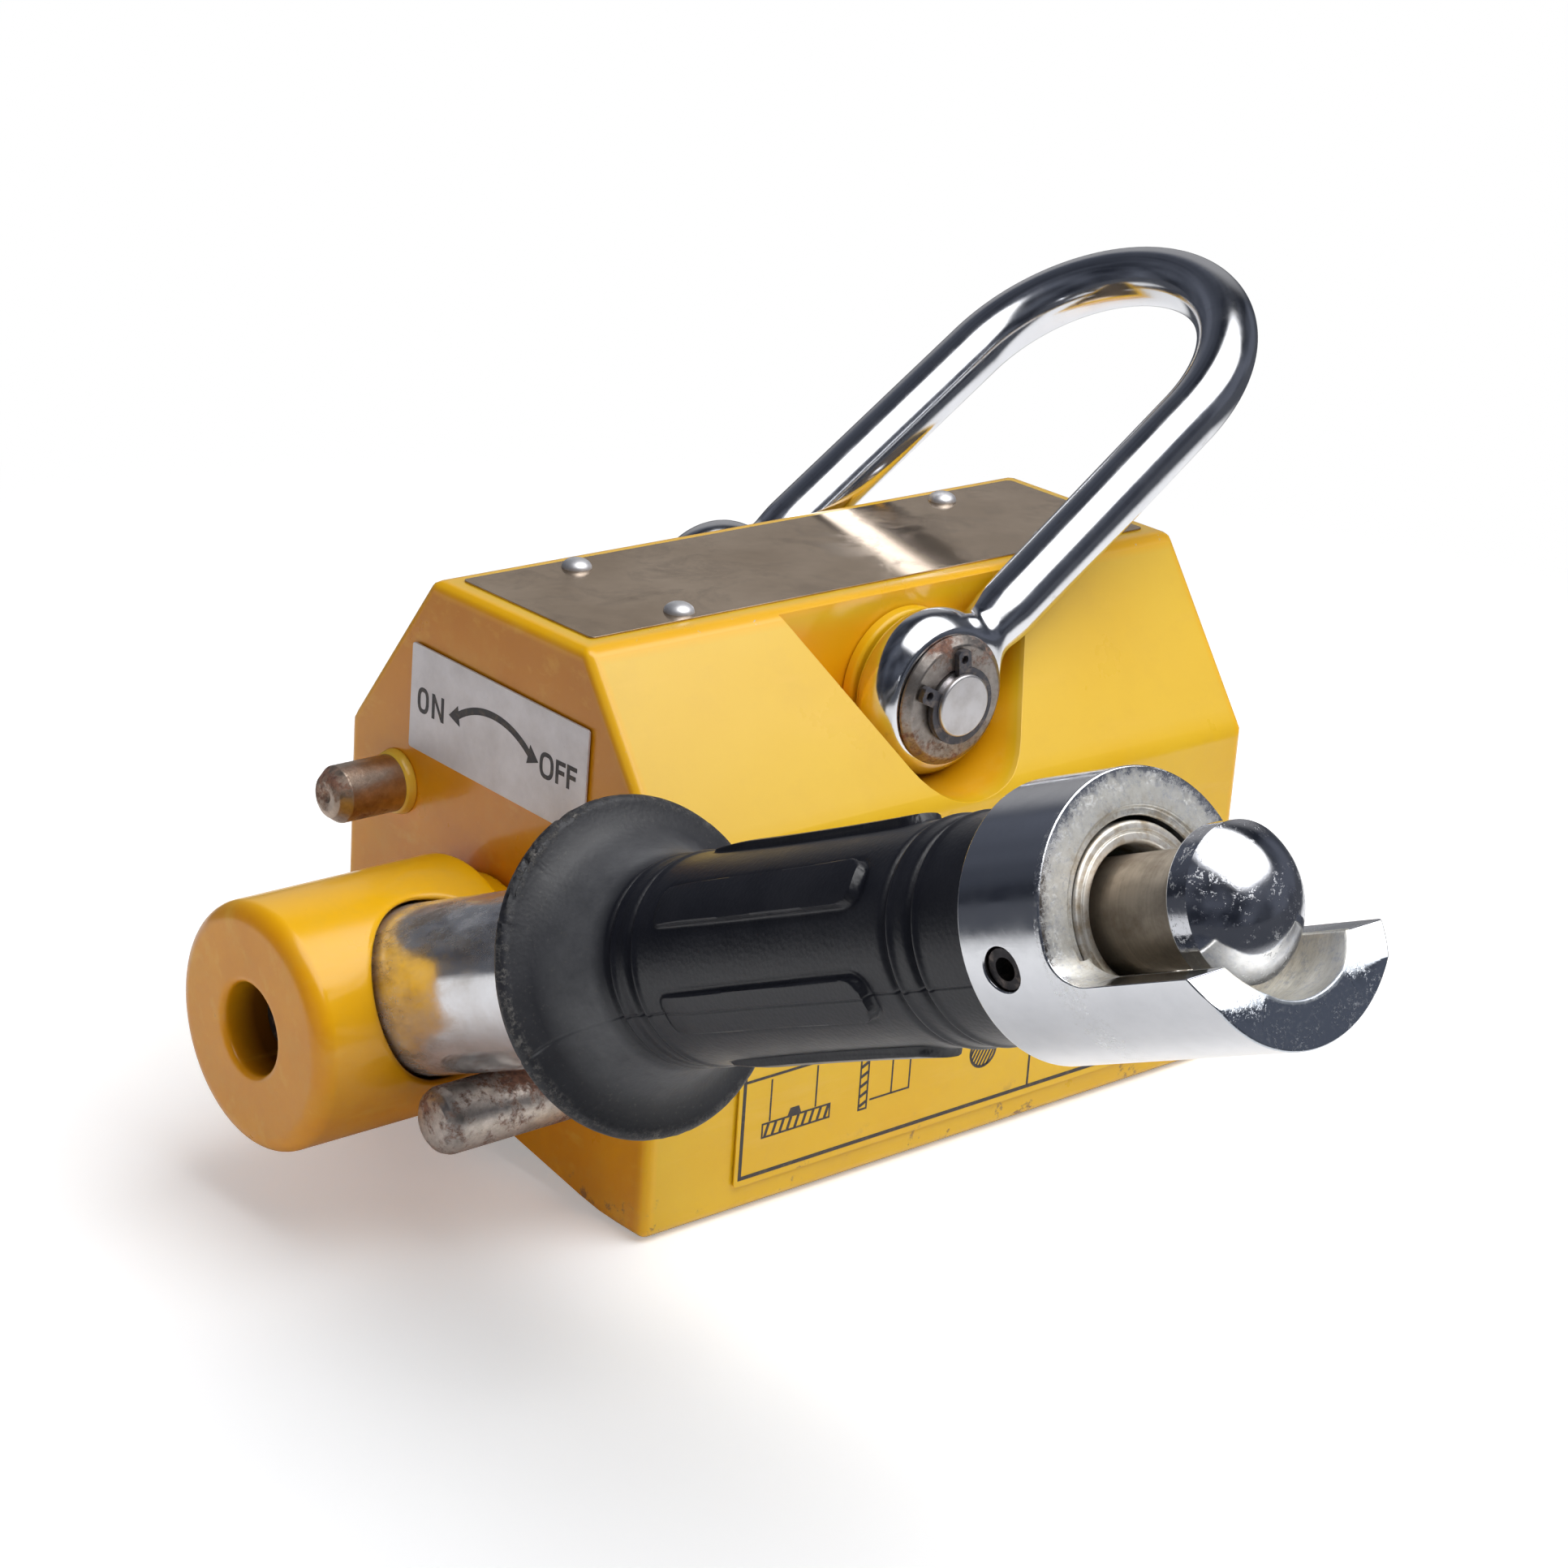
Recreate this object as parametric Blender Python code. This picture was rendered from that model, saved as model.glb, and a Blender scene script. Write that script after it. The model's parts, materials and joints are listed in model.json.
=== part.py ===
"""Small switchable lifting magnet: a yellow steel block with a V-grooved working face, a turning
magnet rotor inside, an ON/OFF lever with a spring-loaded safety knob, and a swinging shackle.

Body frame: X runs along the rotor, the lever hub is at -X. Y is the width, the lever rests towards -Y.
Z is up from the working face. "left" is +Y and "right" is -Y, as seen from the hub end.
The lever's own frame has Z along the lever, away from the hub, and X along the rotor.
"""
import math

import bmesh
import bpy
from mathutils import Matrix, Vector

MM = 0.001
GAP = 0.3 * MM                      # room kept between pieces that touch

# Block
BODY_LENGTH = 98.5 * MM
BODY_WIDTH = 63.0 * MM
BODY_HEIGHT = 70.0 * MM
TOP_WIDTH = 30.6 * MM
SIDE_HEIGHT = 47.5 * MM             # the sides lean in above this height
GROOVE_DEPTH = 4.7 * MM             # V groove of the working face, for round bars
FLAT_WIDTH = 5.0 * MM               # flat strip on each side of the groove
EDGE_RADIUS = 1.3 * MM

# Rotor and its bore
HUB_Z = 24.5 * MM
BORE_RADIUS = 16.5 * MM
BORE_FRONT = -41.2 * MM
ROTOR_RADIUS = 16.0 * MM
ROTOR_HALF = 36.0 * MM
ROTOR_MAGNET_THICKNESS = 10.0 * MM
SHAFT_RADIUS = 6.0 * MM
STUB_RADIUS = 5.0 * MM
COVER_THICKNESS = 5.0 * MM
COVER_HALF_WIDTH = 22.0 * MM
COVER_LOW = 7.2 * MM
COVER_HIGH = 56.0 * MM
COVER_CORNER = 4.0 * MM
STATOR_LOW = 43.5 * MM
STATOR_HIGH = 53.0 * MM
STATOR_HALF_WIDTH = 9.0 * MM

# Hub and lever
HUB_RADIUS = 15.2 * MM
HUB_OUTER = -84.7 * MM
HUB_INNER = -54.2 * MM
NECK_RADIUS = 12.0 * MM
LEVER_X = -65.4 * MM
LEVER_RISE = math.radians(24.0)     # the lever's slope when it rests on the OFF pin
LEVER_TURN = math.radians(115.8)    # from the OFF pin to the catch pin
TUBE_RADIUS = 10.3 * MM
TUBE_START = -8.0 * MM
TUBE_SHOULDER = 50.4 * MM
SPIGOT_RADIUS = 8.75 * MM
SPIGOT_END = 131.0 * MM
TUBE_BORE = 6.6 * MM
LAND_BORE = 3.9 * MM
LAND_LOW = 46.0 * MM
LAND_HIGH = 60.0 * MM
GUARD_RADIUS = 19.0 * MM
GRIP_START = 50.9 * MM
GRIP_END = 120.0 * MM
GRIP_RADIUS = 11.4 * MM
PAD_HEIGHT = 0.8 * MM
PAD_COUNT = 6
PAD_FIRST_ANGLE = math.radians(141.0)
PAD_HALF_ANGLE = math.radians(12.0)
PAD_START = 69.5 * MM
PAD_END = 102.2 * MM
COLLAR_RADIUS = 13.8 * MM
COLLAR_BORE = 9.2 * MM
COLLAR_START = 120.4 * MM
COLLAR_FACE = 131.6 * MM
COLLAR_END = 149.5 * MM
SHELL_TOP = -4.5 * MM               # the half shell beyond the face is cut off at this height
SHELL_FILLET = 3.6 * MM
SET_SCREW_Z = 125.2 * MM
SET_SCREW_ANGLE = math.radians(189.3)
ROD_RADIUS = 5.6 * MM
ROD_SLIM_RADIUS = 3.4 * MM
ROD_SHOULDER = 107.5 * MM
KEY_RADIUS = 4.9 * MM
KEY_START = 36.0 * MM
KNOB_RADIUS = 7.55 * MM
KNOB_START = 141.5 * MM
KNOB_BAND_END = 144.2 * MM
KNOB_TIP = 148.2 * MM

# Pins on the front face
OFF_PIN_Y = -20.8 * MM
OFF_PIN_Z = 17.7 * MM
OFF_PIN_RADIUS = 4.1 * MM
OFF_PIN_TIP = -73.2 * MM
CATCH_PIN_Y = 20.8 * MM
CATCH_PIN_Z = 42.0 * MM
CATCH_PIN_RADIUS = 3.65 * MM
CATCH_PIN_TIP = -60.2 * MM
PIN_ROOT = -43.0 * MM

# Shackle and its pivots
PIVOT_X = 1.2 * MM
PIVOT_Z = 57.8 * MM
SHACKLE_LEAN = math.radians(56.0)   # how far the shackle leans when a leg rests on its pocket's edge
BAR_RADIUS = 4.0 * MM
LEG_OFFSET = 20.9 * MM
LEG_OFFSET_TOP = 19.9 * MM
LEG_LENGTH = 52.0 * MM
BOW_RISE = 22.0 * MM
EYE_RADIUS = 10.1 * MM
EYE_FACE_RADIUS = 8.7 * MM
EYE_HALF = 3.6 * MM
POCKET_RADIUS = 11.2 * MM
POCKET_HALF_ANGLE = math.radians(33.0)
PIVOT_PIN_RADIUS = 4.0 * MM
PIVOT_PIN_IN = 5.6 * MM
PIVOT_PIN_OUT = 27.5 * MM
WASHER_RADIUS = 8.4 * MM

# Plates and labels
PLATE_HALF_LENGTH = 46.5 * MM
PLATE_HALF_WIDTH = 13.2 * MM
PLATE_THICKNESS = 0.35 * MM
RIVET_X = 31.0 * MM
RIVET_Y = 10.0 * MM

FRONT = -BODY_LENGTH / 2
REAR = BODY_LENGTH / 2
COVER_FACE = REAR - COVER_THICKNESS

MATERIALS = {
    # name: (colour, metallic, roughness)
    "yellow_paint": ((0.83, 0.47, 0.01), 0.0, 0.3),
    "chrome": ((0.78, 0.79, 0.81), 1.0, 0.08),
    "bare_steel": ((0.45, 0.42, 0.39), 1.0, 0.4),
    "dark_steel": ((0.05, 0.05, 0.06), 0.8, 0.45),
    "rubber": ((0.025, 0.026, 0.028), 0.0, 0.5),
    "plate": ((0.30, 0.26, 0.23), 0.7, 0.3),
    "sticker": ((0.62, 0.61, 0.62), 0.2, 0.4),
    "label": ((0.85, 0.52, 0.03), 0.0, 0.3),
    "bronze": ((0.62, 0.42, 0.18), 1.0, 0.35),
    "brass": ((0.75, 0.58, 0.25), 1.0, 0.3),
    "magnet": ((0.35, 0.35, 0.37), 0.9, 0.35),
}


def clear_scene():
    for obj in list(bpy.data.objects):
        bpy.data.objects.remove(obj, do_unlink=True)


def material(name):
    found = bpy.data.materials.get(name)
    if found:
        return found
    colour, metallic, roughness = MATERIALS[name]
    made = bpy.data.materials.new(name)
    made.use_nodes = True
    shader = made.node_tree.nodes["Principled BSDF"]
    shader.inputs["Base Color"].default_value = (*colour, 1.0)
    shader.inputs["Metallic"].default_value = metallic
    shader.inputs["Roughness"].default_value = roughness
    return made


def empty(name, location, rotation=(0, 0, 0), parent=None):
    made = bpy.data.objects.new(name, None)
    bpy.context.scene.collection.objects.link(made)
    made.location = location
    made.rotation_euler = rotation
    made.parent = parent
    return made


def add_object(name, bm, mat, parent, smooth=True):
    bmesh.ops.recalc_face_normals(bm, faces=bm.faces)
    mesh = bpy.data.meshes.new(name)
    bm.to_mesh(mesh)
    bm.free()
    if smooth:
        mesh.shade_smooth()
        mesh.set_sharp_from_angle(angle=math.radians(35))
    obj = bpy.data.objects.new(name, mesh)
    if mat:
        mesh.materials.append(material(mat))
    bpy.context.scene.collection.objects.link(obj)
    obj.parent = parent
    return obj


def axis_matrix(axis, origin=(0, 0, 0)):
    """Turns a shape made along Z so that it lies along the named axis, starting from origin."""
    turn = {
        "x": Matrix.Rotation(math.pi / 2, 4, "Y"),
        "y": Matrix.Rotation(-math.pi / 2, 4, "X"),
        "z": Matrix.Identity(4),
    }[axis]
    return Matrix.Translation(Vector(origin)) @ turn


def add_turned(bm, profile, segments=32, matrix=None, closed=False):
    """Turns (radius, z) points round Z. A closed profile makes a ring with a hole through it."""
    matrix = matrix or Matrix.Identity(4)
    rings = []
    for radius, height in profile:
        if radius < 1e-7:
            rings.append([bm.verts.new(matrix @ Vector((0, 0, height)))])
            continue
        ring = []
        for step in range(segments):
            angle = 2 * math.pi * step / segments
            point = Vector((radius * math.cos(angle), radius * math.sin(angle), height))
            ring.append(bm.verts.new(matrix @ point))
        rings.append(ring)
    pairs = list(zip(rings, rings[1:]))
    if closed:
        pairs.append((rings[-1], rings[0]))
    for low, high in pairs:
        for step in range(segments):
            after = (step + 1) % segments
            corners = []
            for vert in (low[step % len(low)], low[after % len(low)],
                         high[after % len(high)], high[step % len(high)]):
                if vert not in corners:
                    corners.append(vert)
            if len(corners) > 2:
                bm.faces.new(corners)
    if not closed:
        for ring in (rings[0], rings[-1]):
            if len(ring) > 1:
                bm.faces.new(ring)


def turned(name, profile, mat, parent, segments=32, matrix=None, closed=False):
    bm = bmesh.new()
    add_turned(bm, profile, segments, matrix, closed)
    return add_object(name, bm, mat, parent)


def add_prism(bm, outline, depth_low, depth_high, axis="x"):
    """Extrudes a flat outline. Along x its points are (y, z), along y (x, z), along z (x, y)."""
    def place(point, depth):
        a, b = point
        return Vector({"x": (depth, a, b), "y": (a, depth, b), "z": (a, b, depth)}[axis])
    low = [bm.verts.new(place(point, depth_low)) for point in outline]
    high = [bm.verts.new(place(point, depth_high)) for point in outline]
    bm.faces.new(low)
    bm.faces.new(high)
    for index in range(len(outline)):
        after = (index + 1) % len(outline)
        bm.faces.new((low[index], low[after], high[after], high[index]))


def prism(name, outline, depth_low, depth_high, mat, parent, axis="x", smooth=True):
    bm = bmesh.new()
    add_prism(bm, outline, depth_low, depth_high, axis)
    return add_object(name, bm, mat, parent, smooth)


def arc(centre, radius, start, end, steps):
    """Points of an arc, both ends included, angles in radians."""
    points = []
    for step in range(steps + 1):
        angle = start + (end - start) * step / steps
        points.append((centre[0] + radius * math.cos(angle), centre[1] + radius * math.sin(angle)))
    return points


def rounded_rectangle(low, high, radius, steps=4):
    points = []
    corners = (
        (high[0] - radius, high[1] - radius, 0),
        (low[0] + radius, high[1] - radius, 90),
        (low[0] + radius, low[1] + radius, 180),
        (high[0] - radius, low[1] + radius, 270),
    )
    for cx, cy, start in corners:
        points += arc((cx, cy), radius, math.radians(start), math.radians(start + 90), steps)
    return points


def cylinder_profile(radius, low, high, chamfer=0.0):
    if chamfer:
        return [(0, low), (radius - chamfer, low), (radius, low + chamfer),
                (radius, high - chamfer), (radius - chamfer, high), (0, high)]
    return [(0, low), (radius, low), (radius, high), (0, high)]


def tube_profile(inner, outer, low, high):
    return [(inner, low), (outer, low), (outer, high), (inner, high)]


def as_cutter(obj):
    obj.hide_render = True
    obj.display_type = "WIRE"
    return obj


def boolean(target, tool, operation="DIFFERENCE"):
    modifier = target.modifiers.new(tool.name, "BOOLEAN")
    modifier.operation = operation
    modifier.solver = "EXACT"
    modifier.object = as_cutter(tool)


def cut_turned(target, name, profile, segments=32, matrix=None):
    boolean(target, turned(name, profile, None, target.parent, segments, matrix))


def cut_prism(target, name, outline, low, high, axis="x"):
    boolean(target, prism(name, outline, low, high, None, target.parent, axis))


# ---------------------------------------------------------------- block

def end_outline():
    half = BODY_WIDTH / 2
    top = TOP_WIDTH / 2
    return [(-half, 0), (-half + FLAT_WIDTH, 0), (0, GROOVE_DEPTH), (half - FLAT_WIDTH, 0), (half, 0),
            (half, SIDE_HEIGHT), (top, BODY_HEIGHT), (-top, BODY_HEIGHT), (-half, SIDE_HEIGHT)]


def block_shape():
    bm = bmesh.new()
    add_prism(bm, end_outline(), FRONT, REAR)
    grooved = []
    for edge in bm.edges:
        middle = (edge.verts[0].co + edge.verts[1].co) / 2
        inside_groove = abs(middle.y) < BODY_WIDTH / 2 - FLAT_WIDTH + GAP and middle.z < GROOVE_DEPTH + GAP
        if not inside_groove:
            grooved.append(edge)
    bmesh.ops.bevel(bm, geom=grooved, offset=EDGE_RADIUS, segments=3, profile=0.5, affect="EDGES")
    return bm


def pocket_outline():
    """The keyhole-shaped pocket for a shackle eye: a round bottom with sides that open upwards."""
    lean = POCKET_HALF_ANGLE
    bottom = arc((PIVOT_X, PIVOT_Z), POCKET_RADIUS, math.pi + lean, 2 * math.pi - lean, 14)
    rise = BODY_HEIGHT + 10 * MM - PIVOT_Z
    spread = POCKET_RADIUS / math.cos(lean) + rise * math.tan(lean)
    high = PIVOT_Z + rise
    return bottom + [(PIVOT_X + spread, high), (PIVOT_X - spread, high)]


def make_housing(frame):
    housing = add_object("housing", block_shape(), "yellow_paint", frame)
    along_x = axis_matrix("x", (0, 0, HUB_Z))
    bore = [(0, FRONT - MM), (8.5 * MM, FRONT - MM), (8.5 * MM, BORE_FRONT),
            (BORE_RADIUS, BORE_FRONT), (BORE_RADIUS, REAR), (0, REAR)]
    cut_turned(housing, "cut_rotor_bore", bore, 40, along_x)
    recess = rounded_rectangle((-COVER_HALF_WIDTH, COVER_LOW), (COVER_HALF_WIDTH, COVER_HIGH), COVER_CORNER)
    cut_prism(housing, "cut_cover_recess", recess, COVER_FACE, REAR + MM)
    stator = [(-STATOR_HALF_WIDTH, STATOR_LOW), (STATOR_HALF_WIDTH, STATOR_LOW),
              (STATOR_HALF_WIDTH, STATOR_HIGH), (-STATOR_HALF_WIDTH, STATOR_HIGH)]
    cut_prism(housing, "cut_stator_cavity", stator, -38 * MM, REAR)
    separator = [(-4.3 * MM, -MM), (4.3 * MM, -MM), (4.3 * MM, 7.0 * MM), (-4.3 * MM, 7.0 * MM)]
    cut_prism(housing, "cut_separator_slot", separator, FRONT - MM, REAR + MM)
    wall = TOP_WIDTH / 2
    for side, name in ((-1, "right"), (1, "left")):
        low, high = sorted((side * wall, side * (BODY_WIDTH / 2 + MM)))
        cut_prism(housing, "cut_pocket_" + name, pocket_outline(), low, high, "y")
        hole = cylinder_profile(PIVOT_PIN_RADIUS + GAP, PIVOT_PIN_IN - GAP, wall + MM)
        cut_turned(housing, "cut_pivot_hole_" + name, hole, 24, side_matrix(side))
    for name, y, z, radius in (
        ("off", OFF_PIN_Y, OFF_PIN_Z, OFF_PIN_RADIUS),
        ("catch", CATCH_PIN_Y, CATCH_PIN_Z, CATCH_PIN_RADIUS),
    ):
        hole = cylinder_profile(radius + GAP, FRONT - MM, PIN_ROOT + GAP)
        cut_turned(housing, "cut_pin_hole_" + name, hole, 24, axis_matrix("x", (0, y, z)))
    for index, (x, y) in enumerate(rivet_places()):
        hole = cylinder_profile(1.3 * MM, BODY_HEIGHT - 3.5 * MM, BODY_HEIGHT + MM)
        cut_turned(housing, "cut_rivet_hole_%d" % index, hole, 12, Matrix.Translation((x, y, 0)))
    for index, (y, z) in enumerate(cover_screw_places()):
        hole = cylinder_profile(1.8 * MM, COVER_FACE - 8.3 * MM, COVER_FACE + MM)
        cut_turned(housing, "cut_cover_hole_%d" % index, hole, 12, axis_matrix("x", (0, y, z)))


def side_matrix(side):
    """Places a shape made along Z so that it runs outwards along the shackle's pivot line."""
    turn = Matrix.Rotation(-side * math.pi / 2, 4, "X")
    return Matrix.Translation((PIVOT_X, 0, PIVOT_Z)) @ turn


def cover_screw_places():
    y = COVER_HALF_WIDTH - 4.2 * MM
    return [(side * y, z) for side in (-1, 1) for z in (COVER_LOW + 4.2 * MM, COVER_HIGH - 4.2 * MM)]


def rivet_places():
    return [(a * RIVET_X, b * RIVET_Y) for a in (-1, 1) for b in (-1, 1)]


def make_rear_cover(frame):
    low = (-COVER_HALF_WIDTH + GAP, COVER_LOW + GAP)
    high = (COVER_HALF_WIDTH - GAP, COVER_HIGH - GAP)
    outline = rounded_rectangle(low, high, COVER_CORNER)
    cover = prism("rear_cover", outline, COVER_FACE + GAP, REAR, "yellow_paint", frame)
    bush_seat = cylinder_profile(7.3 * MM, COVER_FACE - MM, COVER_FACE + 3.9 * MM)
    cut_turned(cover, "cut_bush_seat", bush_seat, 32, axis_matrix("x", (0, 0, HUB_Z)))
    for index, (y, z) in enumerate(cover_screw_places()):
        sink = [(0, COVER_FACE - MM), (1.8 * MM, COVER_FACE - MM), (1.8 * MM, REAR - 2.2 * MM),
                (3.4 * MM, REAR - 0.4 * MM), (3.4 * MM, REAR + MM), (0, REAR + MM)]
        cut_turned(cover, "cut_screw_sink_%d" % index, sink, 16, axis_matrix("x", (0, y, z)))


def add_socket_head_screw(bm, matrix, head_radius, shank_radius, tip, under_head, top, socket, sink):
    """A screw along Z with a hexagon socket in its flat top. sink makes its head conical."""
    neck = under_head if not sink else under_head - (head_radius - shank_radius)
    profile = [(0, tip), (shank_radius, tip), (shank_radius, neck), (head_radius, under_head),
               (head_radius, top), (socket, top)]
    depth = (top - tip) * 0.25 if sink else (top - under_head) * 0.6
    profile += [(socket, top - depth), (0, top - depth)]
    add_turned(bm, profile, 10, matrix)


def make_rear_cover_screws(frame):
    for number, (y, z) in enumerate(cover_screw_places(), 1):
        bm = bmesh.new()
        add_socket_head_screw(bm, axis_matrix("x", (0, y, z)), 3.0 * MM, 1.5 * MM, COVER_FACE - 8 * MM,
                              REAR - 0.7 * MM, REAR - 0.2 * MM, 1.1 * MM, True)
        add_object("cover_screw_%d" % number, bm, "dark_steel", frame)


def make_bearings(frame):
    along_x = axis_matrix("x", (0, 0, HUB_Z))
    turned("front_bush", tube_profile(SHAFT_RADIUS + GAP, 8.2 * MM, -47.2 * MM, -41.4 * MM),
           "bronze", frame, 24, along_x, True)
    seal = [(6.5 * MM, -49.2 * MM), (7.9 * MM, -49.2 * MM), (8.2 * MM, -48.9 * MM), (8.2 * MM, -47.9 * MM),
            (7.9 * MM, -47.6 * MM), (6.5 * MM, -47.6 * MM), (6.25 * MM, -48.4 * MM)]
    turned("shaft_seal", seal, "rubber", frame, 24, along_x, True)
    low = COVER_FACE + 2 * GAP
    turned("rear_bush", tube_profile(STUB_RADIUS + GAP, 7.0 * MM, low, COVER_FACE + 3.6 * MM),
           "bronze", frame, 24, along_x, True)


def make_fixed_magnet(frame):
    inset = GAP
    outline = [(-STATOR_HALF_WIDTH + inset, STATOR_LOW + inset), (STATOR_HALF_WIDTH - inset, STATOR_LOW + inset),
               (STATOR_HALF_WIDTH - inset, STATOR_HIGH - inset), (-STATOR_HALF_WIDTH + inset, STATOR_HIGH - inset)]
    prism("fixed_magnet", outline, -37.7 * MM, COVER_FACE - GAP, "magnet", frame, smooth=False)
    half = 4.0 * MM
    slope = GROOVE_DEPTH / (BODY_WIDTH / 2 - FLAT_WIDTH)
    edge = GROOVE_DEPTH - half * slope
    strip = [(-half, edge), (0, GROOVE_DEPTH), (half, edge), (half, 6.7 * MM), (-half, 6.7 * MM)]
    prism("pole_separator", strip, FRONT + GAP, REAR - GAP, "brass", frame, smooth=False)


def make_pins(frame):
    tip = OFF_PIN_TIP
    r = OFF_PIN_RADIUS
    off = [(0, tip), (r - 1.3 * MM, tip + 0.25 * MM), (r - 0.35 * MM, tip + 0.95 * MM), (r, tip + 2.1 * MM),
           (r, PIN_ROOT), (0, PIN_ROOT)]
    turned("off_stop_pin", off, "bare_steel", frame, 24, axis_matrix("x", (0, OFF_PIN_Y, OFF_PIN_Z)))
    tip = CATCH_PIN_TIP
    r = CATCH_PIN_RADIUS
    catch = [(0, tip + 0.9 * MM), (0.7 * MM, tip + 0.3 * MM), (1.9 * MM, tip), (2.7 * MM, tip + 0.35 * MM),
             (r, tip + 1.7 * MM), (r, PIN_ROOT), (0, PIN_ROOT)]
    turned("catch_pin", catch, "bare_steel", frame, 24, axis_matrix("x", (0, CATCH_PIN_Y, CATCH_PIN_Z)))


def make_plates(frame):
    low = BODY_HEIGHT + 0.25 * MM
    outline = rounded_rectangle((-PLATE_HALF_LENGTH, -PLATE_HALF_WIDTH), (PLATE_HALF_LENGTH, PLATE_HALF_WIDTH),
                                1.0 * MM, 2)
    plate = prism("nameplate", outline, low, low + PLATE_THICKNESS, "plate", frame, "z")
    for index, (x, y) in enumerate(rivet_places(), 1):
        hole = cylinder_profile(1.3 * MM, low - MM, low + PLATE_THICKNESS + MM)
        cut_turned(plate, "cut_plate_hole_%d" % index, hole, 12, Matrix.Translation((x, y, 0)))
        base = low + PLATE_THICKNESS + 0.15 * MM
        dome = [(1.75 * MM * math.cos(a), base + 0.15 * MM + 0.95 * MM * math.sin(a))
                for a in (0, 0.5, 1.0)]
        rivet = [(0, BODY_HEIGHT - 3.2 * MM), (MM, BODY_HEIGHT - 3.2 * MM), (MM, base), (1.75 * MM, base)]
        profile = rivet + dome + [(0, base + 1.1 * MM)]
        turned("nameplate_rivet_%d" % index, profile, "chrome", frame, 12, Matrix.Translation((x, y, 0)))
    sticker = rounded_rectangle((-17.3 * MM, 47.3 * MM), (18.0 * MM, 61.3 * MM), 0.5 * MM, 2)
    prism("on_off_sticker", sticker, FRONT - 0.55 * MM, FRONT - 0.25 * MM, "sticker", frame)
    label = rounded_rectangle((-35.6 * MM, 3.6 * MM), (41.0 * MM, 43.6 * MM), 0.8 * MM, 2)
    out = BODY_WIDTH / 2
    prism("side_label", label, -out - 0.5 * MM, -out - 0.25 * MM, "label", frame, "y")


def make_pivot_side(frame, side, name):
    matrix = side_matrix(side)
    wall = TOP_WIDTH / 2
    groove = PIVOT_PIN_RADIUS - 0.5 * MM
    pin = [(0, PIVOT_PIN_IN), (PIVOT_PIN_RADIUS, PIVOT_PIN_IN), (PIVOT_PIN_RADIUS, 26.0 * MM),
           (groove, 26.0 * MM), (groove, 26.9 * MM), (PIVOT_PIN_RADIUS, 26.9 * MM),
           (PIVOT_PIN_RADIUS, PIVOT_PIN_OUT - 0.4 * MM), (PIVOT_PIN_RADIUS - 0.4 * MM, PIVOT_PIN_OUT),
           (0, PIVOT_PIN_OUT)]
    turned("pivot_pin_" + name, pin, "bare_steel", frame, 20, matrix)
    inner = PIVOT_PIN_RADIUS + GAP
    eye_in = LEG_OFFSET - EYE_HALF
    eye_out = LEG_OFFSET + EYE_HALF
    spacer = tube_profile(inner, 9.6 * MM, wall + 0.25 * MM, eye_in - GAP)
    turned("pivot_spacer_" + name, spacer, "yellow_paint", frame, 28, matrix, True)
    low = eye_out + GAP
    high = low + 1.0 * MM
    washer = [(inner, low), (WASHER_RADIUS, low), (WASHER_RADIUS, high - 0.25 * MM),
              (WASHER_RADIUS - 0.25 * MM, high), (inner, high)]
    turned("pivot_washer_" + name, washer, "bare_steel", frame, 28, matrix, True)
    make_circlip("circlip_" + name, frame, matrix)


def make_circlip(name, frame, matrix):
    """An open retaining ring whose two ends carry pierced lugs."""
    inner = PIVOT_PIN_RADIUS - 0.35 * MM
    opening = math.radians(24)
    facing = math.radians(125)
    lug = 1.05 * MM
    outline = []
    steps = 20
    for step in range(steps + 1):
        turn = opening + (2 * math.pi - 2 * opening) * step / steps
        thick = 1.0 * MM + 0.7 * MM * math.sin(turn / 2) ** 2
        angle = facing + turn
        outline.append(((inner + thick) * math.cos(angle), (inner + thick) * math.sin(angle)))
    for end, spin in ((facing - opening, -1), (facing + opening, 1)):
        centre = ((inner + 1.9 * MM) * math.cos(end), (inner + 1.9 * MM) * math.sin(end))
        if spin < 0:
            start = end - math.pi / 2 + 0.5
            outline += arc(centre, lug, start, start + math.pi * 1.25, 6)
            for step in range(steps + 1):
                angle = facing - opening - (2 * math.pi - 2 * opening) * step / steps
                outline.append((inner * math.cos(angle), inner * math.sin(angle)))
        else:
            start = end - math.pi * 0.9
            outline += arc(centre, lug, start, start + math.pi * 1.25, 6)
    bm = bmesh.new()
    add_prism(bm, outline, 26.1 * MM, 26.8 * MM, "z")
    bmesh.ops.transform(bm, matrix=matrix, verts=bm.verts)
    clip = add_object(name, bm, "dark_steel", frame)
    for index, end in enumerate((facing - opening, facing + opening)):
        centre = Vector(((inner + 1.9 * MM) * math.cos(end), (inner + 1.9 * MM) * math.sin(end), 0))
        hole = cylinder_profile(0.5 * MM, 25 * MM, 28 * MM)
        cut_turned(clip, "cut_%s_%d" % (name, index), hole, 8, matrix @ Matrix.Translation(centre))


# ---------------------------------------------------------------- shackle

def shackle_path():
    """The bar's centre line in the shackle's own frame: up one leg, round the bow, down the other."""
    heights = [height * MM for height in (5.6, 10.2, 14.2, 23, 32, 42)] + [LEG_LENGTH]
    points = []
    for height in heights:
        offset = LEG_OFFSET + (LEG_OFFSET_TOP - LEG_OFFSET) * height / LEG_LENGTH
        points.append((-offset, height))
    bow = 22
    for step in range(1, bow):
        angle = math.pi * step / bow
        points.append((-LEG_OFFSET_TOP * math.cos(angle), LEG_LENGTH + BOW_RISE * math.sin(angle)))
    points += [(-y, z) for y, z in reversed(points[:7])]
    return [Vector((0, y, z)) for y, z in points]


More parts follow.
